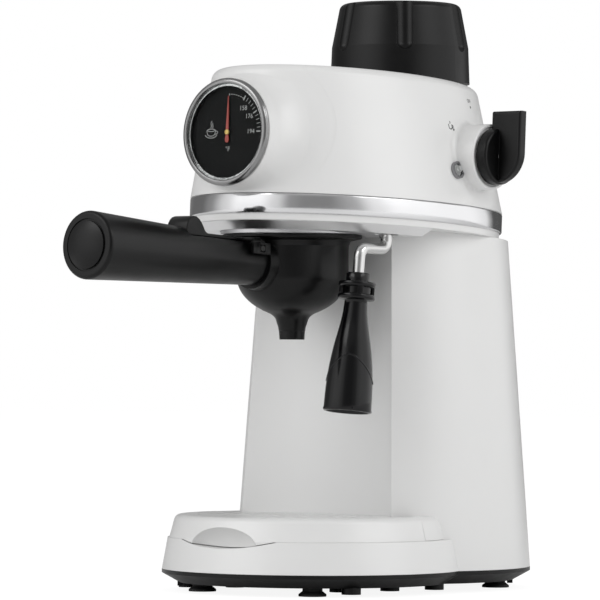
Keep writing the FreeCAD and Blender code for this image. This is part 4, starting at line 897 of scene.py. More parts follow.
@dataclass
class HeadShell:
    """White upper shell, with the thermometer boss and the knob boss running into it.

    A boss's rim is given by its points' distance inside the boss's radius and behind its face.
    """

    form: HeadForm
    wall: float = 2.6
    hem: float = 0.25
    hem_inset: float = 0.3
    wall_rows: int = 14
    edge_rows: int = 10
    segments: int = 240
    neck_radius: float = 25.3
    neck_y: float = 91.7
    neck_sides: int = 96
    gauge_height: float = 44.3
    gauge_radius: float = 28.2
    gauge_face: float = -56.05
    gauge_spread: float = 17.0
    gauge_climb: float = 0.30
    gauge_rim: Outline = ((2.6, 0.05), (0.5, 0.0), (0.1, 0.15))
    gauge_rows: int = 18
    gauge_sides: int = 160
    room_above: float = 0.9
    room_below: float = 0.1
    knob_y: float = 65.0
    knob_height: float = 40.3
    knob_radius: float = 17.2
    knob_bore: float = 3.0
    knob_face: float = 80.0
    knob_spread: float = 3.4
    knob_climb: float = 0.6
    knob_climb_most: float = 0.75
    knob_rim: Outline = ((1.9, 1.2), (1.7, 0.2), (1.4, 0.0), (0.5, 0.0), (0.12, 0.2), (0.0, 0.6))
    knob_rows: int = 14
    knob_sides: int = 128
    proud: float = 0.04

    def heights(self) -> List[float]:
        """Lists the heights of the rows, closer along the rounded edge.

        Returns:
            The heights from the bottom up.
        """
        form = self.form
        straight = form.top - form.edge_round
        wall = straight - form.bottom
        levels = [form.bottom, form.bottom + self.hem]
        levels += [form.bottom + wall * step / self.wall_rows for step in range(1, self.wall_rows + 1)]
        turns = [math.radians(step * 90 / self.edge_rows) for step in range(1, self.edge_rows + 1)]
        return levels + [straight + form.edge_round * math.sin(turn) for turn in turns]

    def shell(self) -> bmesh.types.BMesh:
        """Makes the wall and the top plate with the hole for the neck.

        Returns:
            The closed shell.
        """
        form = self.form
        lowest, *others = self.heights()
        rows = [form.row(lowest, self.hem_inset), *(form.row(level) for level in others)]
        part = skinned(rows, self.segments)
        top = form.top - SAME_LEVEL
        rim = [edge for edge in part.edges if edge.is_boundary and edge.verts[0].co.z > top]
        made = bmesh.ops.create_circle(
            part, cap_ends=False, segments=self.neck_sides, radius=self.neck_radius)
        hole = list({edge for vert in made["verts"] for edge in vert.link_edges})
        bmesh.ops.translate(part, vec=(0.0, self.neck_y, form.top), verts=made["verts"])
        bmesh.ops.triangle_fill(part, use_beauty=True, use_dissolve=False, edges=rim + hole)
        bmesh.ops.recalc_face_normals(part, faces=part.faces)
        rightmost = max(part.faces, key=lambda face: face.calc_center_median().x)
        if rightmost.normal.x < 0.0:
            bmesh.ops.reverse_faces(part, faces=part.faces)
        bmesh.ops.solidify(part, geom=list(part.faces), thickness=self.wall)
        return part

    def gauge_boss(self) -> bmesh.types.BMesh:
        """Makes the boss behind the thermometer, with a wide hollow run into the wall.

        Returns:
            The open skin.
        """
        form, inner = self.form, self.gauge_radius

        def reach(angle: float) -> float:
            """Finds how far the run may spread before it meets the top or bottom edge.

            Args:
                angle: direction from the top.

            Returns:
                The outer radius of the run.
            """
            up = math.cos(angle)
            above = form.top - self.room_above - self.gauge_height
            below = self.gauge_height - form.bottom - self.room_below
            limit = (above if up > 0 else below) / max(1e-6, abs(up))
            return min(inner + self.gauge_spread, limit)

        def run(share: float) -> Row:
            """Makes a row of the run.

            Args:
                share: how far it lies on the way from the boss to the wall.

            Returns:
                The row.
            """
            near, both, far = hollow(share)

            def at(angle: float) -> Vector:
                """Finds the point of the run at an angle from the top.

                Args:
                    angle: direction from the top.

                Returns:
                    The point.
                """
                end = reach(angle)
                across, up = math.sin(angle), math.cos(angle)
                foot = form.front(inner * across, self.gauge_height + inner * up)
                last = form.front(end * across, self.gauge_height + end * up) - self.proud
                start = self.gauge_face + self.gauge_climb * max(0.0, foot - self.gauge_face)
                radius = (near + both) * inner + far * end
                depth = near * start + both * foot + far * last
                return Vector((radius * across, depth, self.gauge_height + radius * up))
            return at

        def face(radius: float, depth: float) -> Row:
            """Row on the flat face or straight side of the boss."""
            return lambda angle: Vector(
                (radius * math.sin(angle), depth, self.gauge_height + radius * math.cos(angle)))

        rows = [face(inner - inset, self.gauge_face + back) for inset, back in self.gauge_rim]
        rows += [run(step / self.gauge_rows) for step in range(self.gauge_rows + 1)]
        return facing(skinned(rows, self.gauge_sides), -REAR)

    def knob_boss(self) -> bmesh.types.BMesh:
        """Makes the knob's round boss, with a crisp rim and a hollow run into the wall.

        Returns:
            The open skin.
        """
        form, inner, end = self.form, self.knob_radius, self.knob_radius + self.knob_spread

        def spot(radius: float, angle: float) -> Pair:
            """Depth and height of a place round the knob."""
            return self.knob_y + radius * math.sin(angle), self.knob_height + radius * math.cos(angle)

        def run(share: float) -> Row:
            """Makes a row of the run.

            Args:
                share: how far it lies on the way from the boss to the wall.

            Returns:
                The row.
            """
            near, both, far = hollow(share)

            def at(angle: float) -> Vector:
                """Finds the point of the run at an angle from the top.

                Args:
                    angle: direction from the top.

                Returns:
                    The point.
                """
                foot = form.side(*spot(inner, angle))
                last = form.side(*spot(end, angle)) + self.proud
                most = self.knob_climb_most * (self.knob_face - foot)
                start = foot + min(self.knob_climb * self.knob_spread, most)
                y, height = spot((near + both) * inner + far * end, angle)
                return Vector((near * start + both * foot + far * last, y, height))
            return at

        def face(radius: float, x: float) -> Row:
            """Row on the flat face or rim of the boss."""
            return lambda angle: Vector((x, *spot(radius, angle)))

        rows = [face(self.knob_bore, self.knob_face - self.knob_rim[0][1])]
        rows += [face(inner - inset, self.knob_face - drop) for inset, drop in self.knob_rim]
        rows += [run(step / self.knob_rows) for step in range(self.knob_rows + 1)]
        return facing(skinned(rows, self.knob_sides), RIGHT)

    def build(self, place: MachineFrame, paint: Paintbox) -> None:
        """Makes the shell as one piece.

        Args:
            place: where the machine stands.
            paint: the finishes.
        """
        shaper = Shaper("head_shell_blended")
        for part in (self.shell(), self.gauge_boss(), self.knob_boss()):
            shaper.add(part, place.leaning())
        shaper.piece("housing", "white_plastic", paint["white_plastic"], ["head_shell"], sharp_deg=50.0)


@dataclass
class ChromeBand:
    """Bright band between the floor of the head and its shell, with rounded edges."""

    form: HeadForm
    low: float = 3.5
    high: float = 13.8
    edge: float = 0.7
    bend: Pair = (0.2, 0.25)
    thickness: float = 2.2
    segments: int = 240

    def build(self, place: MachineFrame, paint: Paintbox) -> None:
        """Makes the band as one closed ring.

        Args:
            place: where the machine stands.
            paint: the finishes.
        """
        rise, inset = self.bend
        profile = [(self.low, self.thickness), (self.low, self.edge), (self.low + rise, inset)]
        profile += [(self.low + self.edge, 0.0), (self.high - self.edge, 0.0), (self.high - rise, inset)]
        profile += [(self.high, self.edge), (self.high, self.thickness), (self.low, self.thickness)]
        part = skinned([self.form.row(*point) for point in profile], self.segments)
        bmesh.ops.remove_doubles(part, verts=part.verts, dist=MERGE_DISTANCE)
        bmesh.ops.recalc_face_normals(part, faces=part.faces)
        shaper = Shaper("chrome_band_rounded").add(part, place.leaning())
        shaper.piece("housing", "chrome", paint["chrome"], ["chrome_band"], sharp_deg=60.0)


@dataclass
class Thermometer:
    """Dial thermometer on the front of the head: bezel, printed dial, needle and its hub.

    The ring and the well are given by their points' distance inside the outer radius and their height.
    A mark is given by its inner and outer end, as shares of the dial's radius, and its width.
    Words and the cup are placed by shares of that radius.
    """

    height: float = 44.3
    back: float = -56.1
    dial: float = -55.3
    needle: float = -55.92
    hub: float = -56.38
    radius: float = 27.8
    face: float = 23.7
    ring: Outline = (
        (2.9, 0.0), (0.2, 0.0), (0.0, 0.25), (0.0, 0.7), (0.25, 0.95), (0.25, 1.2), (0.0, 1.45), (0.05, 1.9),
        (0.4, 2.5), (1.0, 2.95), (1.7, 3.15), (2.2, 3.2), (2.6, 3.05), (2.85, 2.7), (2.9, 2.2), (2.9, 0.0),
    )
    ring_sides: int = 144
    well: Outline = ((2.95, 1.4), (2.95, -0.74), (4.5, -0.78))
    print_lift: float = 0.05
    print_depth: float = 0.06
    print_edge: float = 0.01
    scale_start: float = 30.0
    scale_step: float = 6.0
    scale_count: int = 11
    long_every: int = 5
    long_tick: Triple = (0.79, 0.90, 0.62)
    short_tick: Triple = (0.81, 0.90, 0.26)
    arc_start: float = 4.5
    arc_step: float = 4.6
    arc_count: int = 6
    arc_dash: Triple = (0.818, 0.834, 0.85)
    top_tick: Triple = (0.80, 0.84, 0.5)
    labels: Tuple[Tuple[str, float, float], ...] = (
        ("158", 0.40, 0.51), ("176", 0.57, 0.33), ("194", 0.63, 0.0), ("°F", 0.0, -0.37),
    )
    letter_size: float = 3.4
    letter_lift: float = 0.03
    cup_spot: Triple = (-0.48, 0.02, 0.02)
    cup_scale: float = 1.12
    cup_line: float = 0.15
    needle_side: Outline = (
        (0.22, 18.7), (0.95, 0.4), (0.8, -1.6), (1.2, -3.2), (1.25, -4.2), (0.85, -5.1), (0.0, -5.45),
    )
    needle_depth: float = 0.44
    hub_section: Outline = (
        (0.0, -0.4), (1.35, -0.4), (1.4, 0.15), (1.2, 0.45), (0.7, 0.52), (0.62, 0.36), (0.0, 0.36),
    )
    hub_sides: int = 40

    def local(self, place: MachineFrame, depth: float) -> Matrix:
        """Frame on the gauge axis at a depth, with its third axis towards the front."""
        return place.leaning() @ axes(Vector((0.0, depth, self.height)), RIGHT, UP)

    def inside(self, section: Outline) -> List[Pair]:
        """Section given by its distance inside the bezel's outer radius."""
        return [(self.radius - inset, height) for inset, height in section]

    def build_bezel(self, place: MachineFrame, paint: Paintbox) -> None:
        """Makes the ring with its bead, groove, round and inner bevel, and the dark well inside it.

        Args:
            place: where the machine stands.
            paint: the finishes.
        """
        spot = self.local(place, self.back)
        ring = turned(self.inside(self.ring), self.ring_sides)
        shaper = Shaper("gauge_bezel_turned").add(ring, spot)
        # The chrome ring takes a darkened colour: painted shade for its dark reflections.
        shaper.piece("housing", "chrome", paint["bezel_chrome_painted_dark"], ["gauge_bezel"], sharp_deg=45.0)
        well = facing(turned(self.inside(self.well)), UP)
        Shaper("gauge_well").add(well, spot).piece("housing", "dial_black", paint["dial_black"])

    def build_print(self, place: MachineFrame, paint: Paintbox) -> None:
        """Makes the scale, the numbers and the cup mark as raised print.

        Args:
            place: where the machine stands.
            paint: the finishes.
        """
        shaper = Shaper("gauge_print")
        base = self.local(place, self.dial - self.print_lift)
        for step in range(self.scale_count):
            size = self.short_tick if step % self.long_every else self.long_tick
            self.tick(shaper, base, self.scale_start + self.scale_step * step, size)
        for step in range(self.arc_count):
            self.tick(shaper, base, self.arc_start + self.arc_step * step, self.arc_dash)
        self.tick(shaper, base, 0.0, self.top_tick)
        for text, across, up in self.labels:
            spot = Matrix.Translation((across * self.face, up * self.face, self.letter_lift))
            shaper.add(lettered(text, self.letter_size), base @ spot)
        across, up, lift = self.cup_spot
        spot = base @ Matrix.Translation((across * self.face, up * self.face, lift))
        for points, closed in self.cup():
            shaper.add(stroke(points, self.cup_line, closed), spot @ Matrix.Scale(self.cup_scale, 4))
        shaper.piece("housing", "dial_black", paint["dial_print"])

    def tick(self, shaper: Shaper, base: Matrix, angle: float, size: Triple) -> None:
        """Adds one mark of the scale.

        Args:
            shaper: the print.
            base: frame of the dial.
            angle: degrees clockwise from the top.
            size: inner and outer end as shares of the dial's radius, and width.
        """
        low, high, width = size
        length = (high - low) * self.face
        middle = (0.0, 0.5 * (low + high) * self.face, 0.5 * self.print_depth)
        part = brick((width, length, self.print_depth), middle, self.print_edge)
        shaper.add(part, base @ Matrix.Rotation(-math.radians(angle), 4, "Z"))

    @staticmethod
    def cup() -> List[Tuple[List[Pair], bool]]:
        """Draws a plain cup on a saucer with steam above it.

        Returns:
            Points of each line, and whether it is closed.
        """
        bowl = [(-2.6, 0.7), (-2.5, -0.9), (-1.2, -2.0), (1.2, -2.0), (2.5, -0.9), (2.6, 0.7)]
        rim = [(-2.6, 0.7), (-1.3, 1.3), (1.3, 1.3), (2.6, 0.7), (1.3, 0.15), (-1.3, 0.15)]
        grip = [(2.5, 0.3), (3.9, 0.4), (3.8, -1.1), (2.2, -1.2)]
        saucer = [(-3.6, -1.5), (-2.4, -2.7), (0.0, -2.9), (2.4, -2.7), (3.6, -1.5)]
        steam = [(-0.5, 1.7), (0.5, 2.7), (-0.7, 3.7), (0.3, 5.0)]
        wisp = [(0.6, 1.7), (1.3, 2.5), (0.4, 3.3), (0.9, 4.1)]
        return [(bowl, False), (rim, True), (grip, False), (saucer, False), (steam, False), (wisp, False)]

    def build_needle(self, place: MachineFrame, paint: Paintbox) -> None:
        """Makes the slim needle and the turned cap on its pivot.

        Args:
            place: where the machine stands.
            paint: the finishes.
        """
        mirrored = [(-across, up) for across, up in reversed(self.needle_side[:-1])]
        blade = plate([*self.needle_side, *mirrored], self.needle_depth)
        shaper = Shaper("needle_slim").add(blade, self.local(place, self.needle))
        shaper.piece("needle", "needle_red", paint["needle_red"], ["gauge_needle"])
        hub = turned(self.hub_section, self.hub_sides)
        shaper = Shaper("needle_hub").add(hub, self.local(place, self.hub))
        shaper.piece("needle", "brass", paint["hub_yellow"], ["needle_spindle"])

    def build(self, place: MachineFrame, paint: Paintbox) -> None:
        """Makes all pieces of the thermometer.

        Args:
            place: where the machine stands.
            paint: the finishes.
        """
        self.build_bezel(place, paint)
        self.build_print(place, paint)
        self.build_needle(place, paint)


@dataclass
class SideMarks:
    """Small printed marks beside the knob, and the reflector of the pilot lamp.

    A spot is the depth and the height of a place on the right wall.
    """

    form: HeadForm
    lift: float = 0.03
    letter_size: float = 3.0
    letter_spot: Pair = (73.2, 71.0)
    dot: Outline = ((0.0, 0.05), (0.65, 0.05), (0.7, 0.0))
    dot_sides: int = 20
    dot_spots: Tuple[Pair, ...] = ((74.0, 67.9), (49.9, 53.6))
    cup_spot: Pair = (47.2, 55.2)
    cup_line: float = 0.3
    cup: Tuple[Outline, ...] = (
        ((-1.5, 1.1), (-1.5, -1.0), (-0.6, -1.5), (0.6, -1.5), (1.5, -1.0), (1.5, 1.1)),
        ((1.5, 0.6), (2.5, 0.6), (2.4, -0.7), (1.4, -0.7)),
        ((-0.2, 1.4), (0.4, 2.0), (-0.2, 2.7)),
    )
    lamp_spot: Pair = (46.5, 31.8)
    reflector: Outline = ((0.0, 0.02), (1.0, 0.1), (1.2, 0.4), (2.2, 0.5), (3.1, 0.9), (3.1, 0.0))
    reflector_sides: int = 12

    def frame_at(self, place: MachineFrame, spot: Pair) -> Matrix:
        """Frame at a depth and height on the right wall, just proud of it."""
        return place.leaning() @ self.form.side_frame(*spot) @ Matrix.Translation((0.0, 0.0, self.lift))

    def build(self, place: MachineFrame, paint: Paintbox) -> None:
        """Makes the marks and the reflector.

        Args:
            place: where the machine stands.
            paint: the finishes.
        """
        shaper = Shaper("knob_marks")
        shaper.add(lettered("OFF", self.letter_size), self.frame_at(place, self.letter_spot))
        for spot in self.dot_spots:
            shaper.add(turned(self.dot, self.dot_sides), self.frame_at(place, spot))
        for points in self.cup:
            shaper.add(stroke(points, self.cup_line), self.frame_at(place, self.cup_spot))
        shaper.piece("housing", "white_plastic", paint["shell_print"])
        mirror = turned(self.reflector, self.reflector_sides)
        shaper = Shaper("lamp_reflector").add(mirror, self.frame_at(place, self.lamp_spot))
        shaper.piece("housing", "chrome", paint["steel"])


@dataclass
class SpoutBlend:
    """Hollow run of the bowl into its spout."""

    profile: Outline = (
        (15.5, 146.8), (14.0, 146.15), (12.6, 145.55), (11.4, 144.95), (10.4, 144.35), (9.6, 143.65),
        (8.95, 142.85), (8.5, 142.0), (8.2, 141.1), (7.95, 140.2), (7.7, 139.4), (7.42, 138.6), (7.2, 137.8),
        (7.04, 136.9), (6.93, 136.0), (6.7, 135.9),
    )

    def build(self, place: MachineFrame, paint: Paintbox) -> None:
        """Makes the run as a turned skin."""
        shaper = Shaper("spout_blend").add(turned(self.profile), place.upright())
        shaper.piece("portafilter", "black_plastic", paint["black_plastic"], sharp_deg=70.0)


@dataclass
class FrothSleeve:
    """Glossy frothing sleeve: a grip between two flanges, and a bell with an arched step.

    Its section is given by radius and distance down from the top, a rib or nib by its size and middle.
    """

    elbow: Triple = (52.0, -9.0, 178.5)
    lean: float = math.radians(7.0)
    start: float = 13.0
    bore: float = 3.35
    bore_depth: float = 31.0
    grip: Outline = (
        (5.7, 0.0), (6.0, 0.3), (6.0, 4.5), (9.2, 4.7), (9.6, 5.2), (9.6, 6.7), (9.2, 7.2), (7.3, 7.4),
        (7.3, 10.9), (9.2, 11.1), (9.6, 11.6), (9.6, 13.1), (9.2, 13.6), (6.2, 13.9),
    )
    body: Outline = (
        (5.9, 14.2), (5.95, 16.0), (6.25, 20.0), (6.8, 24.0), (7.55, 28.0), (8.4, 32.0), (9.25, 36.0),
        (10.0, 40.0), (10.65, 44.0), (11.2, 48.0), (11.6, 52.0), (11.9, 56.0), (12.1, 60.0), (12.25, 65.0),
        (12.35, 70.9),
    )
    inside: Outline = (
        (12.1, 71.6), (11.2, 71.6), (10.9, 70.8), (10.7, 66.0), (10.0, 56.0), (8.6, 44.0), (6.6, 34.0),
    )
    arch_turns: Pair = (-58.0, 122.0)
    arch_reach: float = 86.0
    arch_top: float = 42.5
    arch_drop: float = 14.0
    arch_power: float = 1.5
    arch_line: float = 0.4
    arch_sink: float = 0.02
    arch_half: int = 6
    rib_turn: float = -40.0
    rib_count: int = 4
    rib_edge: float = 0.3
    rib: Tuple[Triple, Triple] = ((1.6, 3.2, 4.4), (8.2, 0.0, -9.15))
    nib: Tuple[Triple, Triple] = ((0.9, 1.3, 1.3), (12.25, 0.0, -70.6))

    def radius_at(self, down: float) -> float:
        """Finds the outer radius of the bell.

        Args:
            down: distance from the top of the sleeve.

        Returns:
            The radius there.
        """
        for (low, first), (high, second) in zip(self.body, self.body[1:]):
            if first <= down <= second:
                return low + (high - low) * (down - first) / (second - first)
        return self.body[-1][0]

    def local(self, place: MachineFrame) -> Matrix:
        """Makes a frame at the top of the sleeve, with its third axis up along the wand.

        Args:
            place: where the machine stands.

        Returns:
            The frame as a matrix.
        """
        along = Vector((0.0, -math.sin(self.lean), -math.cos(self.lean)))
        across = Vector((0.0, math.cos(self.lean), -math.sin(self.lean)))
        return place.upright() @ axes(Vector(self.elbow) + along * self.start, RIGHT, across)

    def outline(self) -> List[Pair]:
        """Section of the sleeve as a closed line of radius and height."""
        whole = [(self.bore, 0.0), *self.grip, *self.body, *self.inside, (self.bore, self.bore_depth)]
        return [(radius, -down) for radius, down in [*whole, whole[0]]]

    def arch(self, middle: float) -> bmesh.types.BMesh:
        """Makes the raised line that arches over one side of the bell.

        Args:
            middle: direction of its top in degrees.

        Returns:
            The line as a mesh.
        """
        points = []
        for index in range(-self.arch_half, self.arch_half + 1):
            turn = index / self.arch_half
            down = self.arch_top + self.arch_drop * abs(turn) ** self.arch_power
            angle = math.radians(middle) + turn * math.radians(self.arch_reach)
            radius = self.radius_at(down) - self.arch_sink
            points.append((radius * math.cos(angle), radius * math.sin(angle), -down))
        return tube(points, self.arch_line, roundness=2, steps=12)

    def build(self, place: MachineFrame, paint: Paintbox) -> None:
        """Makes the sleeve as one piece.

        Args:
            place: where the machine stands.
            paint: the finishes.
        """
        shaper = Shaper("froth_sleeve_shaped")
        local = self.local(place)
        shaper.add(turned(self.outline()), local)
        for middle in self.arch_turns:
            shaper.add(self.arch(middle), local)
        for step in range(self.rib_count):
            turn = Matrix.Rotation(math.radians(self.rib_turn + 360.0 / self.rib_count * step), 4, "Z")
            for size, centre in (self.rib, self.nib):
                shaper.add(brick(size, centre, self.rib_edge), local @ turn)
        shaper.piece("sleeve", "gloss_black", paint["gloss_black"], ["froth_sleeve"], sharp_deg=50.0)


@dataclass
class ThumbLatch:
    """Basket latch on the handle: a thin plate with a round thumb hump and two pivot arms.

    The hump is given by its place along the handle and its height above the plate's underside.
    """

    level: float = 169.5
    locked: float = math.radians(-2.6)
    tip: float = math.radians(-3.0)
    flat: float = 10.00
    half_width: float = 7.0
    thickness: float = 1.9
    start: float = -42.0
    heel: float = 5.0
    hump: Outline = (
        (-89.6, 0.0), (-89.6, 3.6), (-89.1, 6.0), (-88.0, 7.9), (-86.4, 9.3), (-84.3, 10.0), (-82.2, 9.8),
        (-80.2, 8.8), (-78.4, 7.2), (-77.0, 5.3), (-75.9, 3.6), (-74.8, 2.5),
    )
    hump_foot: float = -73.2
    rim: float = 0.6
    edge: float = 0.25
    arm_inside: float = 12.70
    arm_thickness: float = 2.20
    arm_front: float = 8.0
    arm_half: float = 3.0
    pin_y: float = -40.0
    pin_height: float = 6.60
    pin_room: float = 1.75
    bar_lap: float = 0.8
    bar_edge: float = 0.1

    def side(self) -> List[Pair]:
        """Draws the plate and its hump, seen from the side.

        Returns:
            The outline as length along the handle and height.
        """
        whole = [(self.start, 0.0), *self.hump]
        whole += [(self.hump_foot, self.thickness), (self.start, self.thickness)]
        return [(along, self.flat + up) for along, up in whole]

    def arm(self, shaper: Shaper, base: Matrix, side: float) -> None:
        """Adds one pivot arm as bars around the pin's hole.

        Args:
            shaper: the latch.
            base: its frame.
            side: 1 for the right arm, -1 for the left one.
        """
        across = side * (self.arm_inside + 0.5 * self.arm_thickness)
        room, half, wide = self.pin_room, self.arm_half, self.arm_thickness
        back, front = self.start - self.heel, self.start + self.arm_front
        for low, high in ((back, self.pin_y - room), (self.pin_y + room, front)):
            middle = (across, 0.5 * (low + high), self.pin_height)
            shaper.add(brick((wide, high - low, 2.0 * half), middle, self.edge), base)
        for way in (1.0, -1.0):
            middle = (across, self.pin_y, self.pin_height + way * (room + 0.5 * (half - room)))
            shaper.add(brick((wide, 2.0 * room + self.bar_lap, half - room), middle, self.bar_edge), base)
        top = self.flat + self.thickness
        middle = (across, self.start - 0.5 * self.heel, 0.5 * (self.pin_height + top))
        shaper.add(brick((wide, self.heel, top - self.pin_height), middle, self.edge), base)

    def build(self, place: MachineFrame, paint: Paintbox) -> None:
        """Makes the latch as one piece.

        Args:
            place: where the machine stands.
            paint: the finishes.
        """
        lift = Matrix.Translation((0.0, 0.0, self.level))
        lock = Matrix.Rotation(self.locked, 4, "Z")
        base = place.upright() @ lock @ lift @ Matrix.Rotation(self.tip, 4, "X")
        shaper = Shaper("thumb_latch")
        turn = axes(Vector((-self.half_width, 0.0, 0.0)), REAR, UP)
        lever = plate(self.side(), 2.0 * self.half_width)
        spans = [(edge, edge.verts[0].co.z - edge.verts[1].co.z) for edge in lever.edges]
        round_edges(lever, [edge for edge, rise in spans if abs(rise) < SAME_LEVEL], self.rim)
        shaper.add(lever, base @ turn)
        outer = self.arm_inside + self.arm_thickness
        middle = (0.0, self.start - 0.5 * self.heel, self.flat + 0.5 * self.thickness)
        shaper.add(brick((2.0 * outer, self.heel, self.thickness), middle, self.edge), base)
        for side in (1.0, -1.0):
            self.arm(shaper, base, side)
        shaper.piece("latch", "black_plastic", paint["black_plastic"], ["basket_latch"], sharp_deg=40.0)


@dataclass
class TrayShoulder:
    """Fixed shoulder of the base that carries the tray's round on to the column."""

    centre: float = 15.5
    gap: float = 0.15
    sides: int = 160
    profile: Outline = (
        (60.0, 28.05), (73.45, 28.05), (73.4, 28.6), (70.89, 37.6), (69.90, 38.8),
        (69.15, 39.55), (68.05, 39.9), (60.0, 39.9), (60.0, 28.05),
    )

    def build(self, place: MachineFrame, paint: Paintbox) -> None:
        """Makes the part of the ring that lies behind the tray.

        Args:
            place: where the machine stands.
            paint: the finishes.
        """
        part = turned(self.profile, self.sides)
        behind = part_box("drip_tray")[1].y / MM - place.shift_y + self.gap
        geometry = [*part.verts, *part.edges, *part.faces]
        bmesh.ops.bisect_plane(part, geom=geometry, plane_co=(0.0, behind - self.centre, 0.0),
                               plane_no=(0.0, 1.0, 0.0), clear_inner=True)
        bmesh.ops.holes_fill(part, edges=list(part.edges), sides=0)
        bmesh.ops.recalc_face_normals(part, faces=list(part.faces))
        spot = place.upright() @ Matrix.Translation((0.0, self.centre, 0.0))
        Shaper("tray_shoulder").add(part, spot).piece("housing", "white_plastic", paint["white_plastic"])


@dataclass
class PlateTabs:
    """Two thin moulded tabs that hang from the rim of the base plate."""

    width: float = 3.0
    thickness: float = 1.4
    low: float = 2.2
    high: float = 7.0
    edge: float = 0.25
    turn: float = math.radians(38.7)
    spots: Tuple[Pair, ...] = ((-53.0, -26.5), (54.0, 120.0))

    def build(self, place: MachineFrame, paint: Paintbox) -> None:
        """Makes both tabs as one piece.

        Args:
            place: where the machine stands.
            paint: the finishes.
        """
        shaper = Shaper("plate_tabs")
        size = (self.width, self.thickness, self.high - self.low)
        for x, y in self.spots:
            part = brick(size, (0.0, 0.0, 0.5 * (self.low + self.high)), self.edge)
            turn = Matrix.Translation((x, y, 0.0)) @ Matrix.Rotation(self.turn, 4, "Z")
            shaper.add(part, place.upright() @ turn)
        shaper.piece("housing", "black_plastic", paint["black_plastic"])


@dataclass
class Studio:
    """Plain pale floor, soft lights, a round wall that only shiny surfaces mirror, and the camera.

    The wall's shades are given by direction in degrees and brightness. The camera's eye is in machine
    millimetres.
    """

    ambient: float = 0.46
    floor_size: float = 6.0
    floor_colour: Colour = (0.9, 0.9, 0.9)
    floor_white: float = 0.75
    floor_glow: float = 1.2
    key_turn: float = -114.0
    key_power: float = 10.8
    fill_turn: float = 8.0
    fill_power: float = 10.2
    lamp_rise: float = 28.0
    lamp_size: float = 1.1
    lamp_distance: float = 1.6
    lamp_aim: float = 0.15
    wall_radius: float = 1.3
    wall_low: float = 0.01
    wall_height: float = 0.95
    wall_sides: int = 180
    wall_shades: Outline = (
        (-180.0, 0.16), (-165.0, 0.28), (-140.0, 0.80), (-125.0, 1.1), (-100.0, 1.1), (-84.0, 0.8),
        (-70.0, 0.33), (-58.0, 0.26), (-40.0, 0.26), (-22.0, 0.44), (-6.0, 0.95), (10.0, 1.2), (60.0, 1.15),
        (78.0, 0.95), (84.0, 0.4), (89.0, 0.1), (118.0, 0.08), (126.0, 0.25), (140.0, 0.2), (160.0, 0.15),
        (180.0, 0.16),
    )
    eye: Triple = (1460.9, -1815.7, 121.1)
    look: Triple = (-0.6254, 0.7801, 0.01338)
    roll: float = math.radians(0.297)
    lens: float = 267.66
    sensor: float = 36.0
    far: float = 50.0

    @staticmethod
    def seen_white(tree: bpy.types.NodeTree) -> bpy.types.NodeSocket:
        """Adds a factor that is one for rays that come from the camera or through glass.

        Args:
            tree: the tree it goes into.

        Returns:
            The factor.
        """
        path = add_node(tree, "LightPath")
        most = add_node(tree, "Math", operation="MAXIMUM")
        wire(tree, (path.outputs["Is Camera Ray"], most.inputs[0]))
        wire(tree, (path.outputs["Is Transmission Ray"], most.inputs[1]))
        return most.outputs["Value"]

    @staticmethod
    def show(name: str, part: bmesh.types.BMesh, material: bpy.types.Material) -> bpy.types.Object:
        """Adds an object of the studio, which is not part of the machine.

        Args:
            name: name of the object.
            part: its mesh, which is used up.
            material: its material.

        Returns:
            The object.
        """
        data = bpy.data.meshes.new(name)
        part.to_mesh(data)
        part.free()
        data.materials.append(material)
        made = bpy.data.objects.new(name, data)
        bpy.context.scene.collection.objects.link(made)
        made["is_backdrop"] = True
        return made

    def build_world(self) -> None:
        """Makes the surroundings: white to the eye, a plain soft grey as light."""
        world = bpy.data.worlds.new("studio")
        bpy.context.scene.world = world
        tree = blank_tree(world)
        sink = add_node(tree, "OutputWorld")
        mix = add_node(tree, "MixShader")
        light = add_node(tree, "Background", {"Color": WHITE, "Strength": self.ambient})
        white = add_node(tree, "Background", {"Color": WHITE, "Strength": 1.0})
        wire(
            tree,
            (self.seen_white(tree), mix.inputs["Fac"]),
            (light.outputs["Background"], mix.inputs[1]),
            (white.outputs["Background"], mix.inputs[2]),
            (mix.outputs["Shader"], sink.inputs["Surface"]),
        )

    def build_floor(self) -> None:
        """Makes a pale floor that keeps a soft shadow."""
        material = bpy.data.materials.new("studio_floor")
        tree = blank_tree(material)
        sink = add_node(tree, "OutputMaterial")
        matt = add_node(tree, "BsdfDiffuse", {"Color": (*self.floor_colour, 1.0)})
        glow = add_node(tree, "Emission", {"Color": WHITE, "Strength": self.floor_glow})
        share = add_node(tree, "Math", {1: self.floor_white}, operation="MULTIPLY")
        mix = add_node(tree, "MixShader")
        wire(
            tree,
            (self.seen_white(tree), share.inputs[0]),
            (share.outputs["Value"], mix.inputs["Fac"]),
            (matt.outputs["BSDF"], mix.inputs[1]),
            (glow.outputs["Emission"], mix.inputs[2]),
            (mix.outputs["Shader"], sink.inputs["Surface"]),
        )
        part = bmesh.new()
        bmesh.ops.create_grid(part, x_segments=1, y_segments=1, size=self.floor_size)
        self.show("studio_floor", part, material)

    def shade_at(self, azimuth: float) -> float:
        """Finds the brightness of the mirrored wall.

        Args:
            azimuth: direction in degrees.

        Returns:
            The brightness there.
        """
        angle = (azimuth + 180.0) % 360.0 - 180.0
        for (first, low), (second, high) in zip(self.wall_shades, self.wall_shades[1:]):
            if first <= angle <= second:
                share = (angle - first) / (second - first)
                soft = share * share * (3.0 - 2.0 * share)
                return low + (high - low) * soft
        return self.wall_shades[0][1]

    def build_wall(self) -> None:
        """Adds a round wall of soft grey and white fields that only shiny surfaces see."""
        def row(height: float) -> Row:
            """Ring of the wall at a height."""
            radius = self.wall_radius
            return lambda angle: Vector((radius * math.cos(angle), radius * math.sin(angle), height))

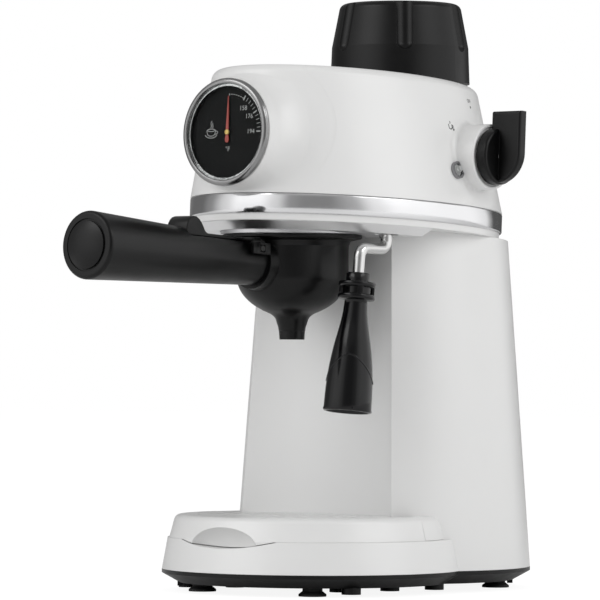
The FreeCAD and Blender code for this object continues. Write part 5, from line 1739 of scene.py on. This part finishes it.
        material = bpy.data.materials.new("mirrored_wall")
        tree = blank_tree(material)
        sink = add_node(tree, "OutputMaterial")
        glow = add_node(tree, "Emission")
        shade = add_node(tree, "Attribute", attribute_name="shade")
        wire(tree, (shade.outputs["Color"], glow.inputs["Color"]))
        wire(tree, (glow.outputs["Emission"], sink.inputs["Surface"]))
        skin = skinned([row(self.wall_low), row(self.wall_height)], self.wall_sides)
        wall = self.show("mirrored_wall", skin, material)
        colours = wall.data.attributes.new("shade", "FLOAT_COLOR", "POINT")
        for vert, cell in zip(wall.data.vertices, colours.data):
            grey = self.shade_at(math.degrees(math.atan2(vert.co.y, vert.co.x)))
            cell.color = (grey, grey, grey, 1.0)
        wall.visible_camera = False
        wall.visible_diffuse = False
        wall.visible_shadow = False
        wall.visible_transmission = False

    def build_light(self, name: str, azimuth: float, power: float) -> None:
        """Adds a large soft lamp that points at the machine.

        Args:
            name: name of the lamp.
            azimuth: its direction in degrees.
            power: its power in watts.
        """
        lamp = bpy.data.lights.new(name, "AREA")
        lamp.energy = power
        lamp.shape = "SQUARE"
        lamp.size = self.lamp_size
        made = bpy.data.objects.new(name, lamp)
        flat, rise = math.radians(azimuth), math.radians(self.lamp_rise)
        way = Vector((math.cos(flat) * math.cos(rise), math.sin(flat) * math.cos(rise), math.sin(rise)))
        made.location = way * self.lamp_distance + UP * self.lamp_aim
        made.rotation_euler = way.to_track_quat("Z", "Y").to_euler()
        made.visible_camera = False
        bpy.context.scene.collection.objects.link(made)

    def build_camera(self, place: MachineFrame) -> None:
        """Adds the camera at the photograph's place.

        Args:
            place: where the machine stands.
        """
        ahead = Vector(self.look).normalized()
        right = ahead.cross(UP).normalized()
        up = right.cross(ahead)
        turn_right = right * math.cos(self.roll) + up * math.sin(self.roll)
        turn_up = up * math.cos(self.roll) - right * math.sin(self.roll)
        data = bpy.data.cameras.new("photo_camera")
        data.lens = self.lens
        data.sensor_width = self.sensor
        data.clip_end = self.far
        made = bpy.data.objects.new("photo_camera", data)
        turn = Matrix((turn_right, turn_up, -ahead)).transposed().to_4x4()
        made.matrix_world = Matrix.Translation(place.upright() @ Vector(self.eye)) @ turn
        bpy.context.scene.collection.objects.link(made)
        bpy.context.scene.camera = made

    def build(self, place: MachineFrame) -> None:
        """Sets up the whole studio.

        Args:
            place: where the machine stands.
        """
        bpy.context.scene.view_settings.view_transform = "Standard"
        self.build_world()
        self.build_floor()
        self.build_light("softbox_left", self.key_turn, self.key_power)
        self.build_light("softbox_right", self.fill_turn, self.fill_power)
        self.build_wall()
        self.build_camera(place)


def clear_leftovers() -> None:
    """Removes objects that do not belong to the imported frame."""
    kept = set(frame["nodes"].values()) | set(frame["bodies"].values())
    for leftover in [item for item in bpy.data.objects if item not in kept]:
        bpy.data.objects.remove(leftover)


def write_sizes(cad: Tuple[Vector, Vector]) -> None:
    """Gathers the box of the solids and the box of the dressed machine, and logs the latter.

    Args:
        cad: lowest and highest corner of the solids.
    """
    low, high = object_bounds()
    sizes = {
        "cad": [list(cad[0]), list(cad[1])],
        "visual": [list(low), list(high)],
    }
    LOG.info("visual box %s %s", sizes["visual"][0], sizes["visual"][1])


def main() -> None:
    """Builds the machine's pieces in order."""
    logging.basicConfig(level=logging.INFO, format="%(message)s")
    clear_leftovers()
    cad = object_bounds()
    place = MachineFrame.from_cad()
    paint = Paintbox()
    paint.dress_solids()
    form = HeadForm()
    assemblies: Tuple[Assembly, ...] = (
        HeadShell(form), ChromeBand(form), Thermometer(), SideMarks(form), SpoutBlend(), FrothSleeve(),
        ThumbLatch(), TrayShoulder(), PlateTabs(),
    )
    for assembly in assemblies:
        assembly.build(place, paint)
    Studio().build(place)
    write_sizes(cad)


if __name__ == "__main__":
    main()
